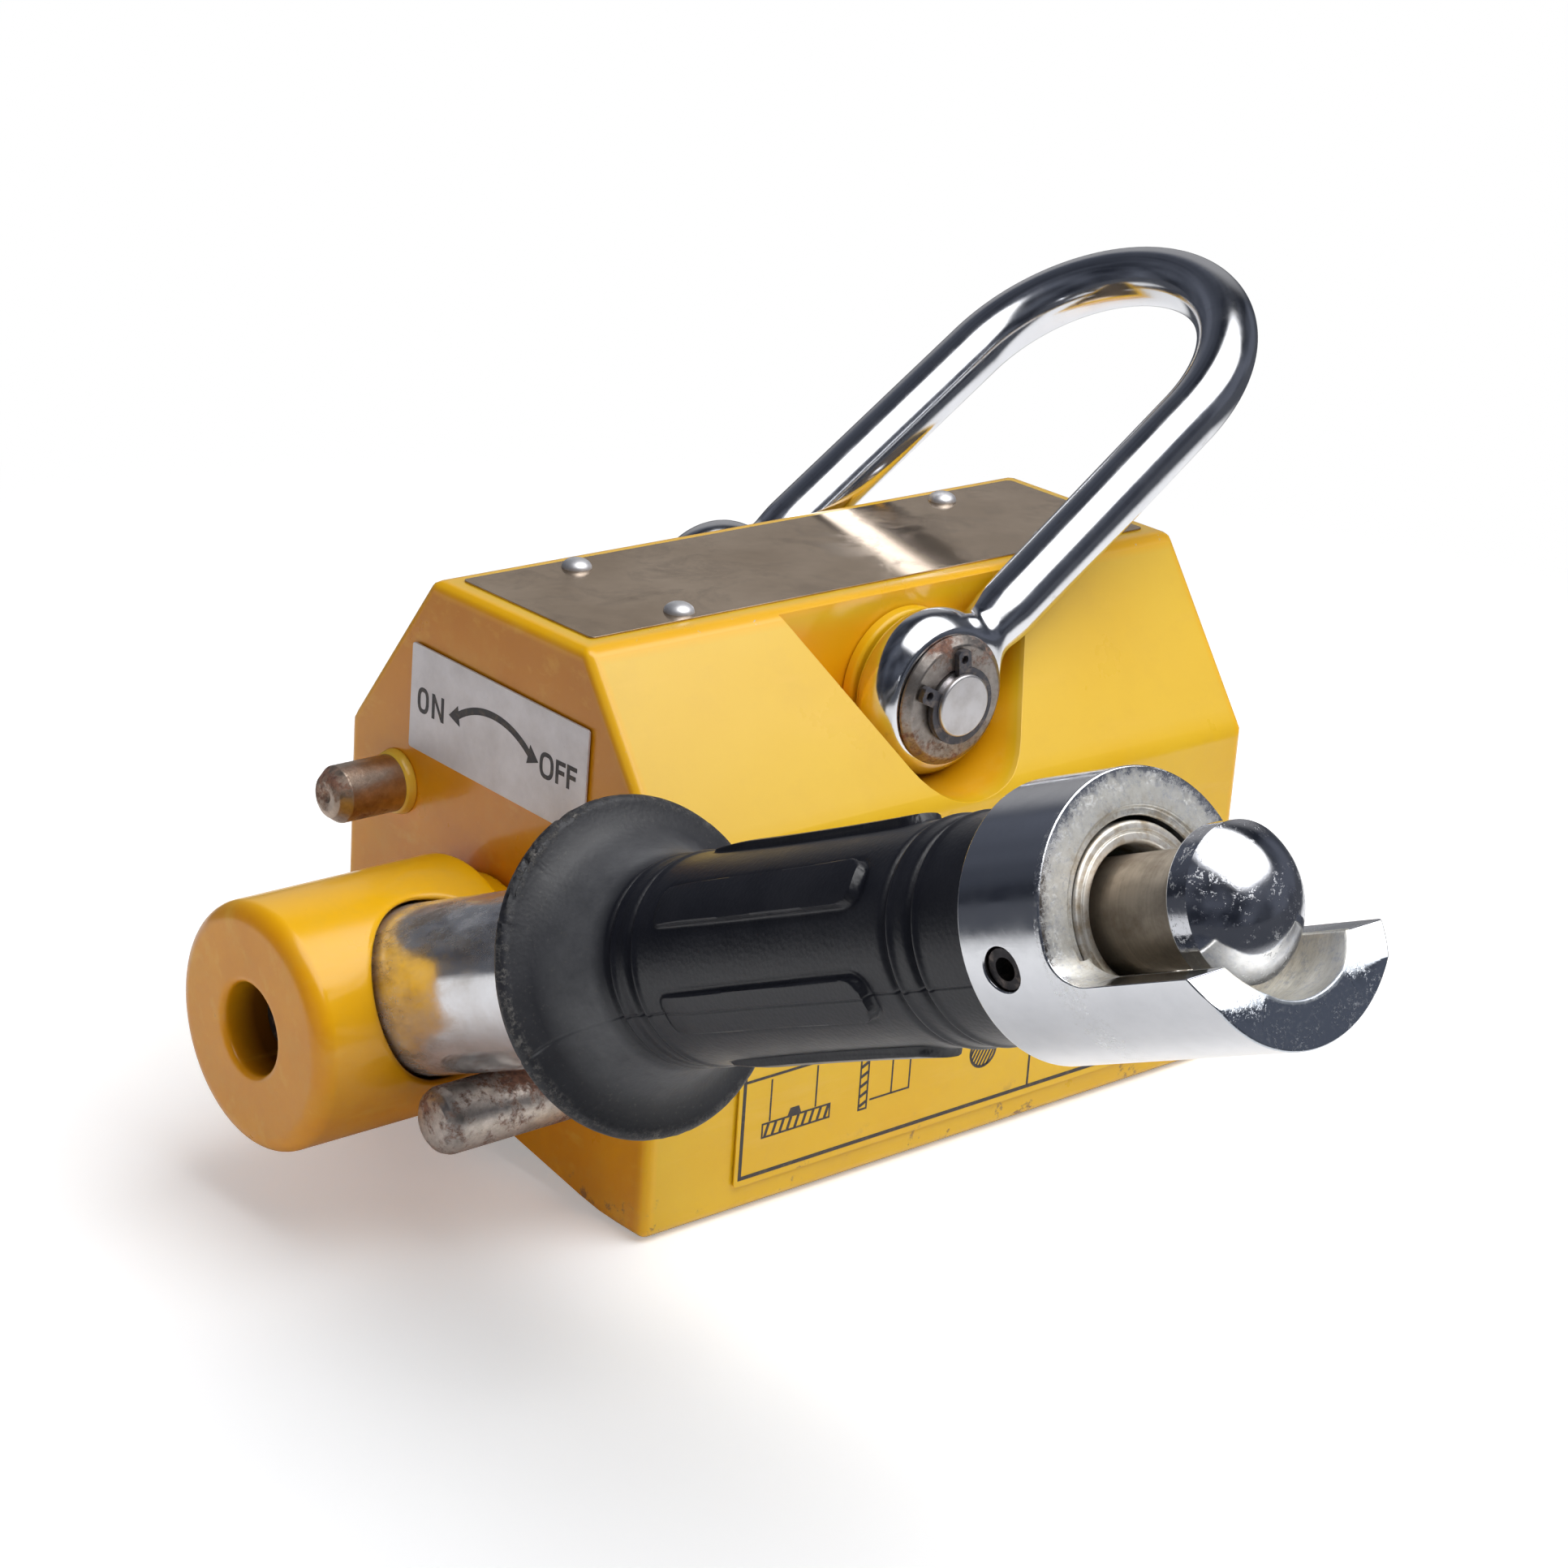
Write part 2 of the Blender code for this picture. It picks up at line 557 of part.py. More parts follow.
def bar_half_thickness(height):
    """The bar is pressed thinner across where it runs into the eye, to clear the spacer and washer."""
    blend = min(max((height - 10.2 * MM) / (4 * MM), 0), 1)
    return EYE_HALF - 0.1 * MM + (BAR_RADIUS - EYE_HALF + 0.1 * MM) * blend


def sweep(bm, path, radius, segments):
    """A bar along a path that lies in the YZ plane."""
    rings = []
    for index, point in enumerate(path):
        ahead = path[min(index + 1, len(path) - 1)]
        behind = path[max(index - 1, 0)]
        along = (ahead - behind).normalized()
        across = Vector((1, 0, 0)).cross(along).normalized()
        ring = []
        for step in range(segments):
            angle = 2 * math.pi * step / segments
            offset = Vector((radius * math.cos(angle), 0, 0))
            offset += across * math.sin(angle) * bar_half_thickness(point.z)
            ring.append(bm.verts.new(point + offset))
        rings.append(ring)
    for low, high in zip(rings, rings[1:]):
        for step in range(segments):
            after = (step + 1) % segments
            bm.faces.new((low[step], low[after], high[after], high[step]))
    bm.faces.new(rings[0])
    bm.faces.new(rings[-1])


def make_shackle(pivot):
    bm = bmesh.new()
    sweep(bm, shackle_path(), BAR_RADIUS, 14)
    shackle = add_object("shackle", bm, "chrome", pivot)
    for side, name in ((-1, "right"), (1, "left")):
        crown = []
        steps = 4
        for step in range(steps + 1):
            across = -1 + 2 * step / steps
            bulge = math.sqrt(1 - across * across)
            crown.append((EYE_FACE_RADIUS + (EYE_RADIUS - EYE_FACE_RADIUS) * bulge,
                          LEG_OFFSET + EYE_HALF * across))
        inner = PIVOT_PIN_RADIUS + GAP + 0.05 * MM
        profile = [(inner, LEG_OFFSET - EYE_HALF)] + crown + [(inner, LEG_OFFSET + EYE_HALF)]
        turn = Matrix.Rotation(-side * math.pi / 2, 4, "X")
        boolean(shackle, turned("eye_" + name, profile, "chrome", pivot, 28, turn, True), "UNION")


# ---------------------------------------------------------------- lever

def make_hub(lever):
    r = HUB_RADIUS
    outer = HUB_OUTER - LEVER_X
    inner = HUB_INNER - LEVER_X
    neck_end = FRONT - 0.4 * MM - LEVER_X
    nose = 2.4 * MM
    lip = 0.8 * MM
    profile = [(0, outer)] + [(r - nose + nose * math.sin(a), outer + nose - nose * math.cos(a))
                              for a in (0, 0.5, 1.0, math.pi / 2)]
    profile += [(r, inner - lip), (r - 0.3 * lip, inner - 0.3 * lip), (r - lip, inner),
                (NECK_RADIUS, inner), (NECK_RADIUS, neck_end), (0, neck_end)]
    along_x = axis_matrix("x")
    hub = turned("hub", profile, "yellow_paint", lever, 36, along_x)
    bore = [(0, outer - MM), (5.6 * MM, outer - MM), (5.6 * MM, outer + 8.3 * MM), (3.4 * MM, outer + 8.3 * MM),
            (3.4 * MM, 11.5 * MM), (SHAFT_RADIUS + GAP, 11.5 * MM), (SHAFT_RADIUS + GAP, neck_end + MM),
            (0, neck_end + MM)]
    cut_turned(hub, "cut_hub_bore", bore, 24, along_x)
    cut_turned(hub, "cut_hub_socket", cylinder_profile(TUBE_RADIUS + 0.4 * MM, TUBE_START - 0.4 * MM, 20 * MM),
               32)
    bm = bmesh.new()
    add_socket_head_screw(bm, along_x, 5.2 * MM, 3.0 * MM, 21.5 * MM, outer + 8.0 * MM, outer + 3.0 * MM,
                          2.6 * MM, False)
    add_object("hub_bolt", bm, "dark_steel", lever)


def make_lever_tube(lever):
    profile = [(TUBE_BORE, TUBE_START), (TUBE_RADIUS - 0.5 * MM, TUBE_START),
               (TUBE_RADIUS, TUBE_START + 0.5 * MM), (TUBE_RADIUS, TUBE_SHOULDER),
               (SPIGOT_RADIUS, TUBE_SHOULDER), (SPIGOT_RADIUS, SPIGOT_END - 0.4 * MM),
               (SPIGOT_RADIUS - 0.4 * MM, SPIGOT_END), (TUBE_BORE + 0.5 * MM, SPIGOT_END),
               (TUBE_BORE, SPIGOT_END - 0.5 * MM), (TUBE_BORE, LAND_HIGH), (LAND_BORE, LAND_HIGH),
               (LAND_BORE, LAND_LOW), (TUBE_BORE, LAND_LOW)]
    tube = turned("lever_tube", profile, "chrome", lever, 28, None, True)
    cut_turned(tube, "cut_bolt_hole", cylinder_profile(3.4 * MM, -15 * MM, 15 * MM), 16, axis_matrix("x"))
    cut_prism(tube, "cut_catch_slot", catch_slot_outline(), CATCH_PIN_TIP - LEVER_X - 0.5 * MM, 15 * MM)


def catch_slot_outline():
    """The slot that takes the catch pin, as (y, z) points: it follows the pin's path round the hub."""
    reach = math.hypot(CATCH_PIN_Y, CATCH_PIN_Z - HUB_Z)
    half = CATCH_PIN_RADIUS + 0.4 * MM
    bottom = math.pi / 2 + half / reach
    inner = arc((0, 0), reach - half, bottom, math.radians(58), 8)
    outer = arc((0, 0), reach + half, math.radians(58), bottom, 8)
    return inner + outer


def grip_profile():
    """(radius, z) from the guard's back face, over its rim and down its flare, along the barrel."""
    inner = SPIGOT_RADIUS + GAP
    start = GRIP_START
    r = GRIP_RADIUS
    points = [(inner, start), (15.5 * MM, start), (18.2 * MM, start - 0.1 * MM), (GUARD_RADIUS, start + 0.7 * MM),
              (GUARD_RADIUS, start + 1.7 * MM), (18.3 * MM, start + 2.3 * MM)]
    flare_height = 8.0 * MM
    flare_width = 17.2 * MM - r
    for step in range(5):
        a = math.pi / 2 * step / 4
        points.append((17.2 * MM - flare_width * math.sin(a), start + 2.5 * MM + flare_height * (1 - math.cos(a))))
    for z in (61.7 * MM, 65.4 * MM, 106.8 * MM, 110.6 * MM):
        points += [(r, z - 0.6 * MM), (r - 0.5 * MM, z), (r, z + 0.6 * MM)]
    points += [(r, GRIP_END - 0.8 * MM), (r - 0.8 * MM, GRIP_END), (inner, GRIP_END)]
    return points


def make_grip(lever):
    grip = turned("grip", grip_profile(), "rubber", lever, 36, None, True)
    bm = bmesh.new()
    for index in range(PAD_COUNT):
        centre = PAD_FIRST_ANGLE + 2 * math.pi * index / PAD_COUNT
        outer = arc((0, 0), GRIP_RADIUS + PAD_HEIGHT, centre - PAD_HALF_ANGLE, centre + PAD_HALF_ANGLE, 4)
        inner = arc((0, 0), GRIP_RADIUS - MM, centre + PAD_HALF_ANGLE, centre - PAD_HALF_ANGLE, 4)
        add_prism(bm, outer + inner, PAD_START, PAD_END, "z")
    boolean(grip, add_object("grip_pads", bm, "rubber", lever), "UNION")


def make_collar(lever):
    r = COLLAR_RADIUS
    edge = 0.4 * MM
    profile = [(COLLAR_BORE, COLLAR_START), (r - edge, COLLAR_START), (r, COLLAR_START + edge),
               (r, COLLAR_END - edge), (r - edge, COLLAR_END), (COLLAR_BORE, COLLAR_END)]
    collar = turned("end_collar", profile, "chrome", lever, 40, None, True)
    corner = (SHELL_TOP + SHELL_FILLET, COLLAR_FACE + SHELL_FILLET)
    cut = [(20 * MM, COLLAR_FACE)] + arc(corner, SHELL_FILLET, -math.pi / 2, -math.pi, 6)
    cut += [(SHELL_TOP, COLLAR_END - 2.0 * MM), (SHELL_TOP - 3.4 * MM, COLLAR_END + 0.1 * MM),
            (SHELL_TOP - 3.4 * MM, COLLAR_END + 5 * MM), (20 * MM, COLLAR_END + 5 * MM)]
    cut_prism(collar, "cut_shell_top", cut, -20 * MM, 20 * MM)
    turn = Matrix.Translation((0, 0, SET_SCREW_Z)) @ Matrix.Rotation(SET_SCREW_ANGLE, 4, "Z")
    outwards = turn @ Matrix.Rotation(math.pi / 2, 4, "Y")
    cut_turned(collar, "cut_set_screw_hole", cylinder_profile(2.4 * MM, 8 * MM, 16 * MM), 20, outwards)
    bm = bmesh.new()
    top = 13.3 * MM
    screw = [(0, 9.2 * MM), (1.4 * MM, 9.2 * MM), (2.1 * MM, 10.0 * MM), (2.1 * MM, top), (1.2 * MM, top),
             (1.2 * MM, top - 2 * MM), (0, top - 2 * MM)]
    add_turned(bm, screw, 18, outwards)
    add_object("collar_set_screw", bm, "dark_steel", lever)


def make_rotor(lever):
    shift = -LEVER_X
    along_x = axis_matrix("x", (shift, 0, 0))
    front_low = HUB_INNER + 0.6 * MM
    front = [(0, front_low), (SHAFT_RADIUS, front_low), (SHAFT_RADIUS, -40.6 * MM), (ROTOR_RADIUS, -40.6 * MM),
             (ROTOR_RADIUS, -ROTOR_HALF - GAP), (0, -ROTOR_HALF - GAP)]
    plate = turned("rotor_front_plate", front, "bare_steel", lever, 32, along_x)
    cut_turned(plate, "cut_shaft_thread", cylinder_profile(3.3 * MM, front_low - MM, -43.0 * MM), 16, along_x)
    rear = [(0, ROTOR_HALF + GAP), (ROTOR_RADIUS, ROTOR_HALF + GAP), (ROTOR_RADIUS, 40.3 * MM),
            (STUB_RADIUS, 40.3 * MM), (STUB_RADIUS, COVER_FACE + 3.5 * MM), (0, COVER_FACE + 3.5 * MM)]
    rear_plate = turned("rotor_rear_plate", rear, "bare_steel", lever, 32, along_x)
    half = ROTOR_MAGNET_THICKNESS / 2
    outline = []
    spread = math.asin((half - 0.15 * MM) / ROTOR_RADIUS)
    outline += arc((0, 0), ROTOR_RADIUS, -spread, spread, 4)
    outline += arc((0, 0), ROTOR_RADIUS, math.pi - spread, math.pi + spread, 4)
    low, high = shift - ROTOR_HALF, shift + ROTOR_HALF
    prism("rotor_magnet", outline, low, high, "magnet", lever)
    spread = math.asin((half + 0.15 * MM) / ROTOR_RADIUS)
    poles = []
    for name, start in (("rotor_pole_north", spread), ("rotor_pole_south", math.pi + spread)):
        outline = arc((0, 0), ROTOR_RADIUS, start, start + math.pi - 2 * spread, 18)
        poles.append(prism(name, outline, low, high, "bare_steel", lever))
    for end, tip, top in ((-1, 28 * MM, 40.6 * MM), (1, 28 * MM, 40.3 * MM)):
        for z in (-10.5 * MM, 10.5 * MM):
            flip = Matrix.Rotation(math.pi / 2 * end, 4, "Y")
            matrix = Matrix.Translation((shift, 0, z)) @ flip
            hole = [(0, tip - GAP), (1.8 * MM, tip - GAP), (1.8 * MM, top - 2.0 * MM), (3.1 * MM, top - 0.6 * MM),
                    (3.1 * MM, top + MM), (0, top + MM)]
            disc = plate if end < 0 else rear_plate
            label = "%s_%s" % ("front" if end < 0 else "rear", "high" if z > 0 else "low")
            tool = turned("cut_screw_" + label, hole, None, lever, 12, matrix)
            boolean(disc, tool)
            boolean(poles[0] if z > 0 else poles[1], tool)
            bm = bmesh.new()
            add_socket_head_screw(bm, matrix, 2.7 * MM, 1.5 * MM, tip, top - 0.7 * MM, top - 0.2 * MM, MM, True)
            add_object("rotor_screw_" + label, bm, "dark_steel", lever)


def make_lever(lever):
    make_hub(lever)
    make_lever_tube(lever)
    make_grip(lever)
    make_collar(lever)
    make_rotor(lever)


# ---------------------------------------------------------------- safety knob

def make_knob_parts(slide):
    key_end = LAND_LOW - GAP
    rod = [(0, KEY_START), (KEY_RADIUS - 0.6 * MM, KEY_START), (KEY_RADIUS, KEY_START + 0.6 * MM),
           (KEY_RADIUS, key_end), (ROD_SLIM_RADIUS, key_end), (ROD_SLIM_RADIUS, ROD_SHOULDER),
           (ROD_RADIUS, ROD_SHOULDER), (ROD_RADIUS, KNOB_START - GAP), (3.0 * MM, KNOB_START - GAP),
           (3.0 * MM, KNOB_START + 3.4 * MM), (0, KNOB_START + 3.4 * MM)]
    turned("lock_rod", rod, "bare_steel", slide, 24)
    base = KNOB_RADIUS
    rise = KNOB_TIP - KNOB_BAND_END
    dome_radius = (base * base + rise * rise) / (2 * rise)
    spread = math.asin(base / dome_radius)
    dome = []
    for step in range(1, 5):
        a = spread * (1 - step / 5)
        dome.append((dome_radius * math.sin(a), KNOB_TIP - dome_radius * (1 - math.cos(a))))
    knob = [(0, KNOB_START + 3.7 * MM), (3.3 * MM, KNOB_START + 3.7 * MM), (3.3 * MM, KNOB_START),
            (base - 0.3 * MM, KNOB_START), (base, KNOB_START + 0.3 * MM), (base, KNOB_BAND_END)]
    turned("knob", knob + dome + [(0, KNOB_TIP)], "chrome", slide, 32)
    make_spring(slide)


def make_spring(slide):
    """The return spring round the rod's slim part, between the tube's land and the rod's shoulder."""
    low = LAND_HIGH + 1.0 * MM
    high = ROD_SHOULDER - 1.0 * MM
    wire = 0.6 * MM
    coil = 5.0 * MM
    turns = 8
    per_turn = 9
    sides = 5
    total = turns * per_turn
    bm = bmesh.new()
    rings = []
    for step in range(total + 1):
        angle = 2 * math.pi * step / per_turn
        centre = Vector((coil * math.cos(angle), coil * math.sin(angle), low + (high - low) * step / total))
        outwards = Vector((math.cos(angle), math.sin(angle), 0))
        ring = []
        for side in range(sides):
            a = 2 * math.pi * side / sides
            ring.append(bm.verts.new(centre + outwards * wire * math.cos(a) + Vector((0, 0, wire * math.sin(a)))))
        rings.append(ring)
    for first, second in zip(rings, rings[1:]):
        for side in range(sides):
            after = (side + 1) % sides
            bm.faces.new((first[side], first[after], second[after], second[side]))
    bm.faces.new(rings[0])
    bm.faces.new(rings[-1])
    add_object("return_spring", bm, "dark_steel", slide)


# ---------------------------------------------------------------- assembly

def object_centre():
    """The middle of the finished object in X and Y, worked out from its outermost pieces."""
    reach = PIVOT_X + math.sin(SHACKLE_LEAN) * (LEG_LENGTH + BOW_RISE) + BAR_RADIUS
    lever_end = -COLLAR_END * math.cos(LEVER_RISE) - (COLLAR_RADIUS - 0.4 * MM) * math.sin(LEVER_RISE)
    return (HUB_OUTER + reach) / 2, (lever_end + BODY_WIDTH / 2) / 2


def build():
    clear_scene()
    centre_x, centre_y = object_centre()
    frame = empty("assembly", (-centre_x, -centre_y, 0))
    make_housing(frame)
    make_rear_cover(frame)
    make_rear_cover_screws(frame)
    make_bearings(frame)
    make_fixed_magnet(frame)
    make_pins(frame)
    make_plates(frame)
    for side, name in ((-1, "right"), (1, "left")):
        make_pivot_side(frame, side, name)
    pivot = empty("shackle_pivot", (PIVOT_X, 0, PIVOT_Z), (0, SHACKLE_LEAN, 0), frame)
    make_shackle(pivot)
    lever = empty("lever_axis", (LEVER_X, 0, HUB_Z), (math.pi / 2 - LEVER_RISE, 0, 0), frame)
    make_lever(lever)
    slide = empty("knob_axis", (0, 0, 0), parent=lever)
    make_knob_parts(slide)


build()
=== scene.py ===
"""Looks of the lifting magnet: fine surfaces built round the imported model, with procedural materials."""
import json
import math

import bmesh
import bpy
import numpy as np
from mathutils import Matrix, Vector


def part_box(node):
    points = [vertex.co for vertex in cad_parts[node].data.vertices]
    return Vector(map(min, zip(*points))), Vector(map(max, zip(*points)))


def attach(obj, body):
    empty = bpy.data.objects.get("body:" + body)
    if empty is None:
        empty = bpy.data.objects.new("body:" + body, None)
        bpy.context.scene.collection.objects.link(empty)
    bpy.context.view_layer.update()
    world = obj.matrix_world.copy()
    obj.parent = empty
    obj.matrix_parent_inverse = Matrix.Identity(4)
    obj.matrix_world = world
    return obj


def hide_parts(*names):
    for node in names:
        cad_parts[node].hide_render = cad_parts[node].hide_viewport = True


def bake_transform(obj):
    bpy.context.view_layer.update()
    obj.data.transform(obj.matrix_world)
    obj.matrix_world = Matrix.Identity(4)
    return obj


MM = 0.001
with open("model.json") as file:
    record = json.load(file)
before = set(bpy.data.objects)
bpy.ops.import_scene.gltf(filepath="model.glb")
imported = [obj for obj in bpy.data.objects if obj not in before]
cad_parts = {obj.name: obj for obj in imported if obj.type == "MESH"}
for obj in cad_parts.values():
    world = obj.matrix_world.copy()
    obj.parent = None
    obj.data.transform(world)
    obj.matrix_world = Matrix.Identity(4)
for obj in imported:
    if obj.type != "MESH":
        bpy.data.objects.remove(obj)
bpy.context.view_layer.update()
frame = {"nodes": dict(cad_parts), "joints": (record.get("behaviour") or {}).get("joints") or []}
nodes = frame["nodes"]
joints = {joint["name"]: joint for joint in frame["joints"]}

# The block's own frame: X along the rotor, Z up from the working face, origin under the block's middle
lever_pivot = Vector(joints["lever_turn"]["pos_m"])
shackle_pivot = Vector(joints["shackle_swing"]["pos_m"])
LEVER_X = -65.4 * MM
LEVER_RISE = math.radians(24.0)
SHACKLE_LEAN = math.radians(56.0)
BLOCK = Matrix.Translation((lever_pivot.x - LEVER_X, lever_pivot.y, 0))
LEVER = Matrix.Translation(lever_pivot) @ Matrix.Rotation(math.pi / 2 - LEVER_RISE, 4, "X")
SHACKLE = Matrix.Translation(shackle_pivot) @ Matrix.Rotation(SHACKLE_LEAN, 4, "Y")
PIVOT_X = 1.2 * MM
PIVOT_Z = shackle_pivot.z
# Half the block's length and width, and its height, in millimetres
BLOCK_END, BLOCK_SIDE, BLOCK_TOP = 49.25, 31.5, 70


# ---------------------------------------------------------------- materials

class Tree:
    """Short ways to add nodes to one node tree."""

    def __init__(self, owner):
        owner.use_nodes = True
        self.tree = owner.node_tree

    def fill(self, socket, value):
        """Links a socket to another one, or gives it a plain value."""
        if isinstance(value, bpy.types.NodeSocket):
            self.tree.links.new(value, socket)
        else:
            socket.default_value = value

    def set(self, node, inputs):
        for name, value in inputs.items():
            self.fill(node.inputs[name.replace("_", " ") if isinstance(name, str) else name], value)

    def node(self, kind, inputs=None, **settings):
        made = self.tree.nodes.new("ShaderNode" + kind)
        for name, value in settings.items():
            setattr(made, name, value)
        self.set(made, inputs or {})
        return made

    def math(self, operation, *values):
        return self.node("Math", dict(enumerate(values)), operation=operation).outputs[0]

    def times(self, a, b):
        return self.math("MULTIPLY", a, b)

    def plus(self, a, b):
        return self.math("ADD", a, b)

    def minus(self, a, b):
        return self.math("SUBTRACT", a, b)

    def vector(self, operation, *values):
        made = self.node("VectorMath", dict(enumerate(values)), operation=operation)
        return made.outputs["Value" if operation in ("LENGTH", "DOT_PRODUCT") else "Vector"]

    def most(self, a, b):
        return self.math("MAXIMUM", a, b)

    def ramp(self, value, low, high, start=0.0, end=1.0, **settings):
        made = self.node("MapRange", {"Value": value, "From_Min": low, "From_Max": high,
                                      "To_Min": start, "To_Max": end}, **settings)
        return made.outputs["Result"]

    def mix(self, factor, a, b):
        a, b = [(*colour, 1) if isinstance(colour, tuple) else colour for colour in (a, b)]
        return self.node("Mix", {0: factor, 6: a, 7: b}, data_type="RGBA").outputs[2]


class Shader(Tree):
    """Builds one piece's material. Its textures lie in the piece's own frame, and sizes are in millimetres."""

    def __init__(self, name, roughness=0.5, metallic=0.0, **inputs):
        self.material = bpy.data.materials.new(name)
        super().__init__(self.material)
        self.shader = self.tree.nodes["Principled BSDF"]
        self.set(self.shader, {"Roughness": roughness, "Metallic": metallic, **inputs})
        self.coords = self.tree.nodes.new("ShaderNodeTexCoord").outputs["Object"]

    def stretched(self, scale, offset=(0, 0, 0), rotation=(0, 0, 0)):
        made = self.node("Mapping", {"Vector": self.coords, "Scale": scale, "Location": offset,
                                     "Rotation": rotation})
        return made.outputs["Vector"]

    def noise(self, size, detail=4.0, rough=0.55, vector=None, distortion=0.0):
        """Cloudy noise whose largest features are about size across."""
        made = self.node("TexNoise", {"Vector": vector or self.coords, "Scale": 1000.0 / size,
                                      "Detail": detail, "Roughness": rough, "Distortion": distortion})
        return made.outputs["Fac"]

    def cells(self, size):
        return self.node("TexVoronoi", {"Vector": self.coords, "Scale": 1000.0 / size}).outputs["Distance"]

    def clouds(self, size, detail, rough, low, high, start=0.0, end=1.0):
        """A ramp over noise."""
        return self.ramp(self.noise(size, detail, rough), low, high, start, end)

    def span(self, value, low, high, start=0.0, end=1.0):
        """A ramp of a length."""
        return self.ramp(value, low * MM, high * MM, start, end)

    def axis(self, name):
        return self.node("SeparateXYZ", {"Vector": self.coords}).outputs[name]

    def distance(self, across):
        """The distance from the origin, counting only the axes that are 1 in across."""
        return self.vector("LENGTH", self.stretched(across))

    def bump(self, height, depth, strength=1.0, normal=None):
        made = self.node("Bump", {"Height": height, "Strength": strength, "Distance": depth * MM})
        if normal:
            self.set(made, {"Normal": normal})
        return made.outputs["Normal"]

    def finish(self, **inputs):
        self.set(self.shader, inputs)
        return self.material


def paint_material(name="yellow_paint", on_block=True):
    """Glossy yellow enamel, worn along its edges. Painted shade makes it more orange on the lever's end of the
    block, on faces set back from the sides and top, on the hub's lower side and in its bore; painted highlights
    lighten the slopes, the rounded edges and the hub's top.
    """
    s = Shader(name, Coat_Weight=0.5, Coat_Roughness=0.12, Specular_IOR_Level=0.25)
    tone = s.noise(26, 5, 0.6)
    colour = s.mix(s.ramp(tone, 0.35, 0.7), (0.79, 0.45, 0.004), (0.83, 0.515, 0.016))
    # amber is the orange of the painted shade on the lever's end face and on the hub's lower side
    amber = s.mix(s.clouds(11, 5, 0.65, 0.35, 0.7), (0.80, 0.325, 0.004), (0.73, 0.275, 0.006))
    drawn_out = s.stretched((0.25, 1.0, 1.6), rotation=(0, 0.25, 0))
    streaks = s.ramp(s.noise(5, 5, 0.65, drawn_out), 0.56, 0.72, 0.0, 0.25)
    dust = s.clouds(9, 6, 0.7, 0.5, 0.8, 0.0, 0.3)
    chips = None
    if on_block:
        shifted = s.stretched((1, 1, 1), tuple(-c for c in BLOCK.translation))
        parts = s.node("SeparateXYZ", {"Vector": shifted})
        x, y, z = (parts.outputs[axis] for axis in "XYZ")
        end = s.minus(BLOCK_END * MM, s.math("ABSOLUTE", x))
        inset = s.math("MULTIPLY_ADD", s.span(z, 47.5, 70), 16.2 * MM, s.math("ABSOLUTE", y))
        side = s.minus(BLOCK_SIDE * MM, inset)
        top = s.minus(BLOCK_TOP * MM, z)

        def near_edges(low, high):
            """1 where two of the block's faces are both close by."""
            close = [s.span(distance, low, high) for distance in (end, side, top)]
            pairs = s.most(s.times(close[0], close[1]), s.times(close[1], close[2]))
            return s.most(pairs, s.times(close[0], close[2])), close[1]
        edge, beside = near_edges(1.0, 0.45)
        chips = s.times(edge, s.clouds(2.4, 5, 0.75, 0.65, 0.68))
        rounded, _ = near_edges(1.9, 0.6)
        front = s.span(x, -48.9, -49.15)
        # Painted shade: faces more than 3 mm from the sides and top (the ends, the pockets, the bottom) turn a
        # more saturated orange
        deep = s.times(s.span(side, 1.0, 3.0), s.span(top, 1.0, 3.0))
        # Painted sheen: the slope faces are mixed towards a pale yellow
        painted_slope_sheen = s.times(beside, s.span(z, 47, 50, 0.0, 0.55))
        colour = s.mix(painted_slope_sheen, colour, (0.86, 0.57, 0.09))
        colour = s.mix(s.times(deep, 0.8), colour, (0.84, 0.385, 0.003))
        # Painted shade: the lever's end face takes the amber orange, darker still towards its top
        amber = s.mix(s.span(z, 38, 66, 0.0, 0.62), amber, (0.47, 0.155, 0.001))
        colour = s.mix(front, colour, amber)
        # Painted highlight: a brighter, more saturated orange band along the rounded edges
        colour = s.mix(s.times(rounded, 0.7), colour, (0.95, 0.46, 0.001))
        low = s.span(z, 7, 0.5)
        stain = s.times(low, s.clouds(4.5, 6, 0.75, 0.60, 0.66))
    else:
        # Painted light and shade on the hub: yellow on its upper side, the amber orange below
        raised = s.math("MULTIPLY_ADD", s.axis("Z"), 0.45, s.axis("Y"))
        painted_lit_top = s.times(s.span(raised, -8, 13), s.span(s.axis("X"), -19.1, -17))
        colour = s.mix(painted_lit_top, amber, (0.95, 0.50, 0.001))
        # Painted shade: near-black orange inside the bore, deepening inwards
        bore = s.span(s.distance((0, 1, 1)), 6.5, 5.7)
        bore = s.times(bore, s.span(s.axis("X"), -19.0, -14.8, 0.0, 0.94))
        colour = s.mix(bore, colour, (0.13, 0.040, 0.004))
        stain = s.clouds(3.4, 6, 0.8, 0.69, 0.75, 0.0, 0.7)
    colour = s.mix(dust, colour, (0.70, 0.42, 0.06))
    colour = s.mix(streaks, colour, (0.88, 0.54, 0.08))
    colour = s.mix(stain, colour, (0.25, 0.12, 0.05))
    if chips:
        colour = s.mix(chips, colour, (0.62, 0.56, 0.50))
    rough = s.clouds(12, 5, 0.6, 0.3, 0.75, 0.26, 0.44)
    peel = s.bump(s.noise(1.6, 2, 0.5), 0.02, 0.5)
    fine = s.bump(s.noise(7, 3, 0.5), 0.06, 0.35, peel)
    return s.finish(Base_Color=colour, Roughness=rough, Normal=fine)


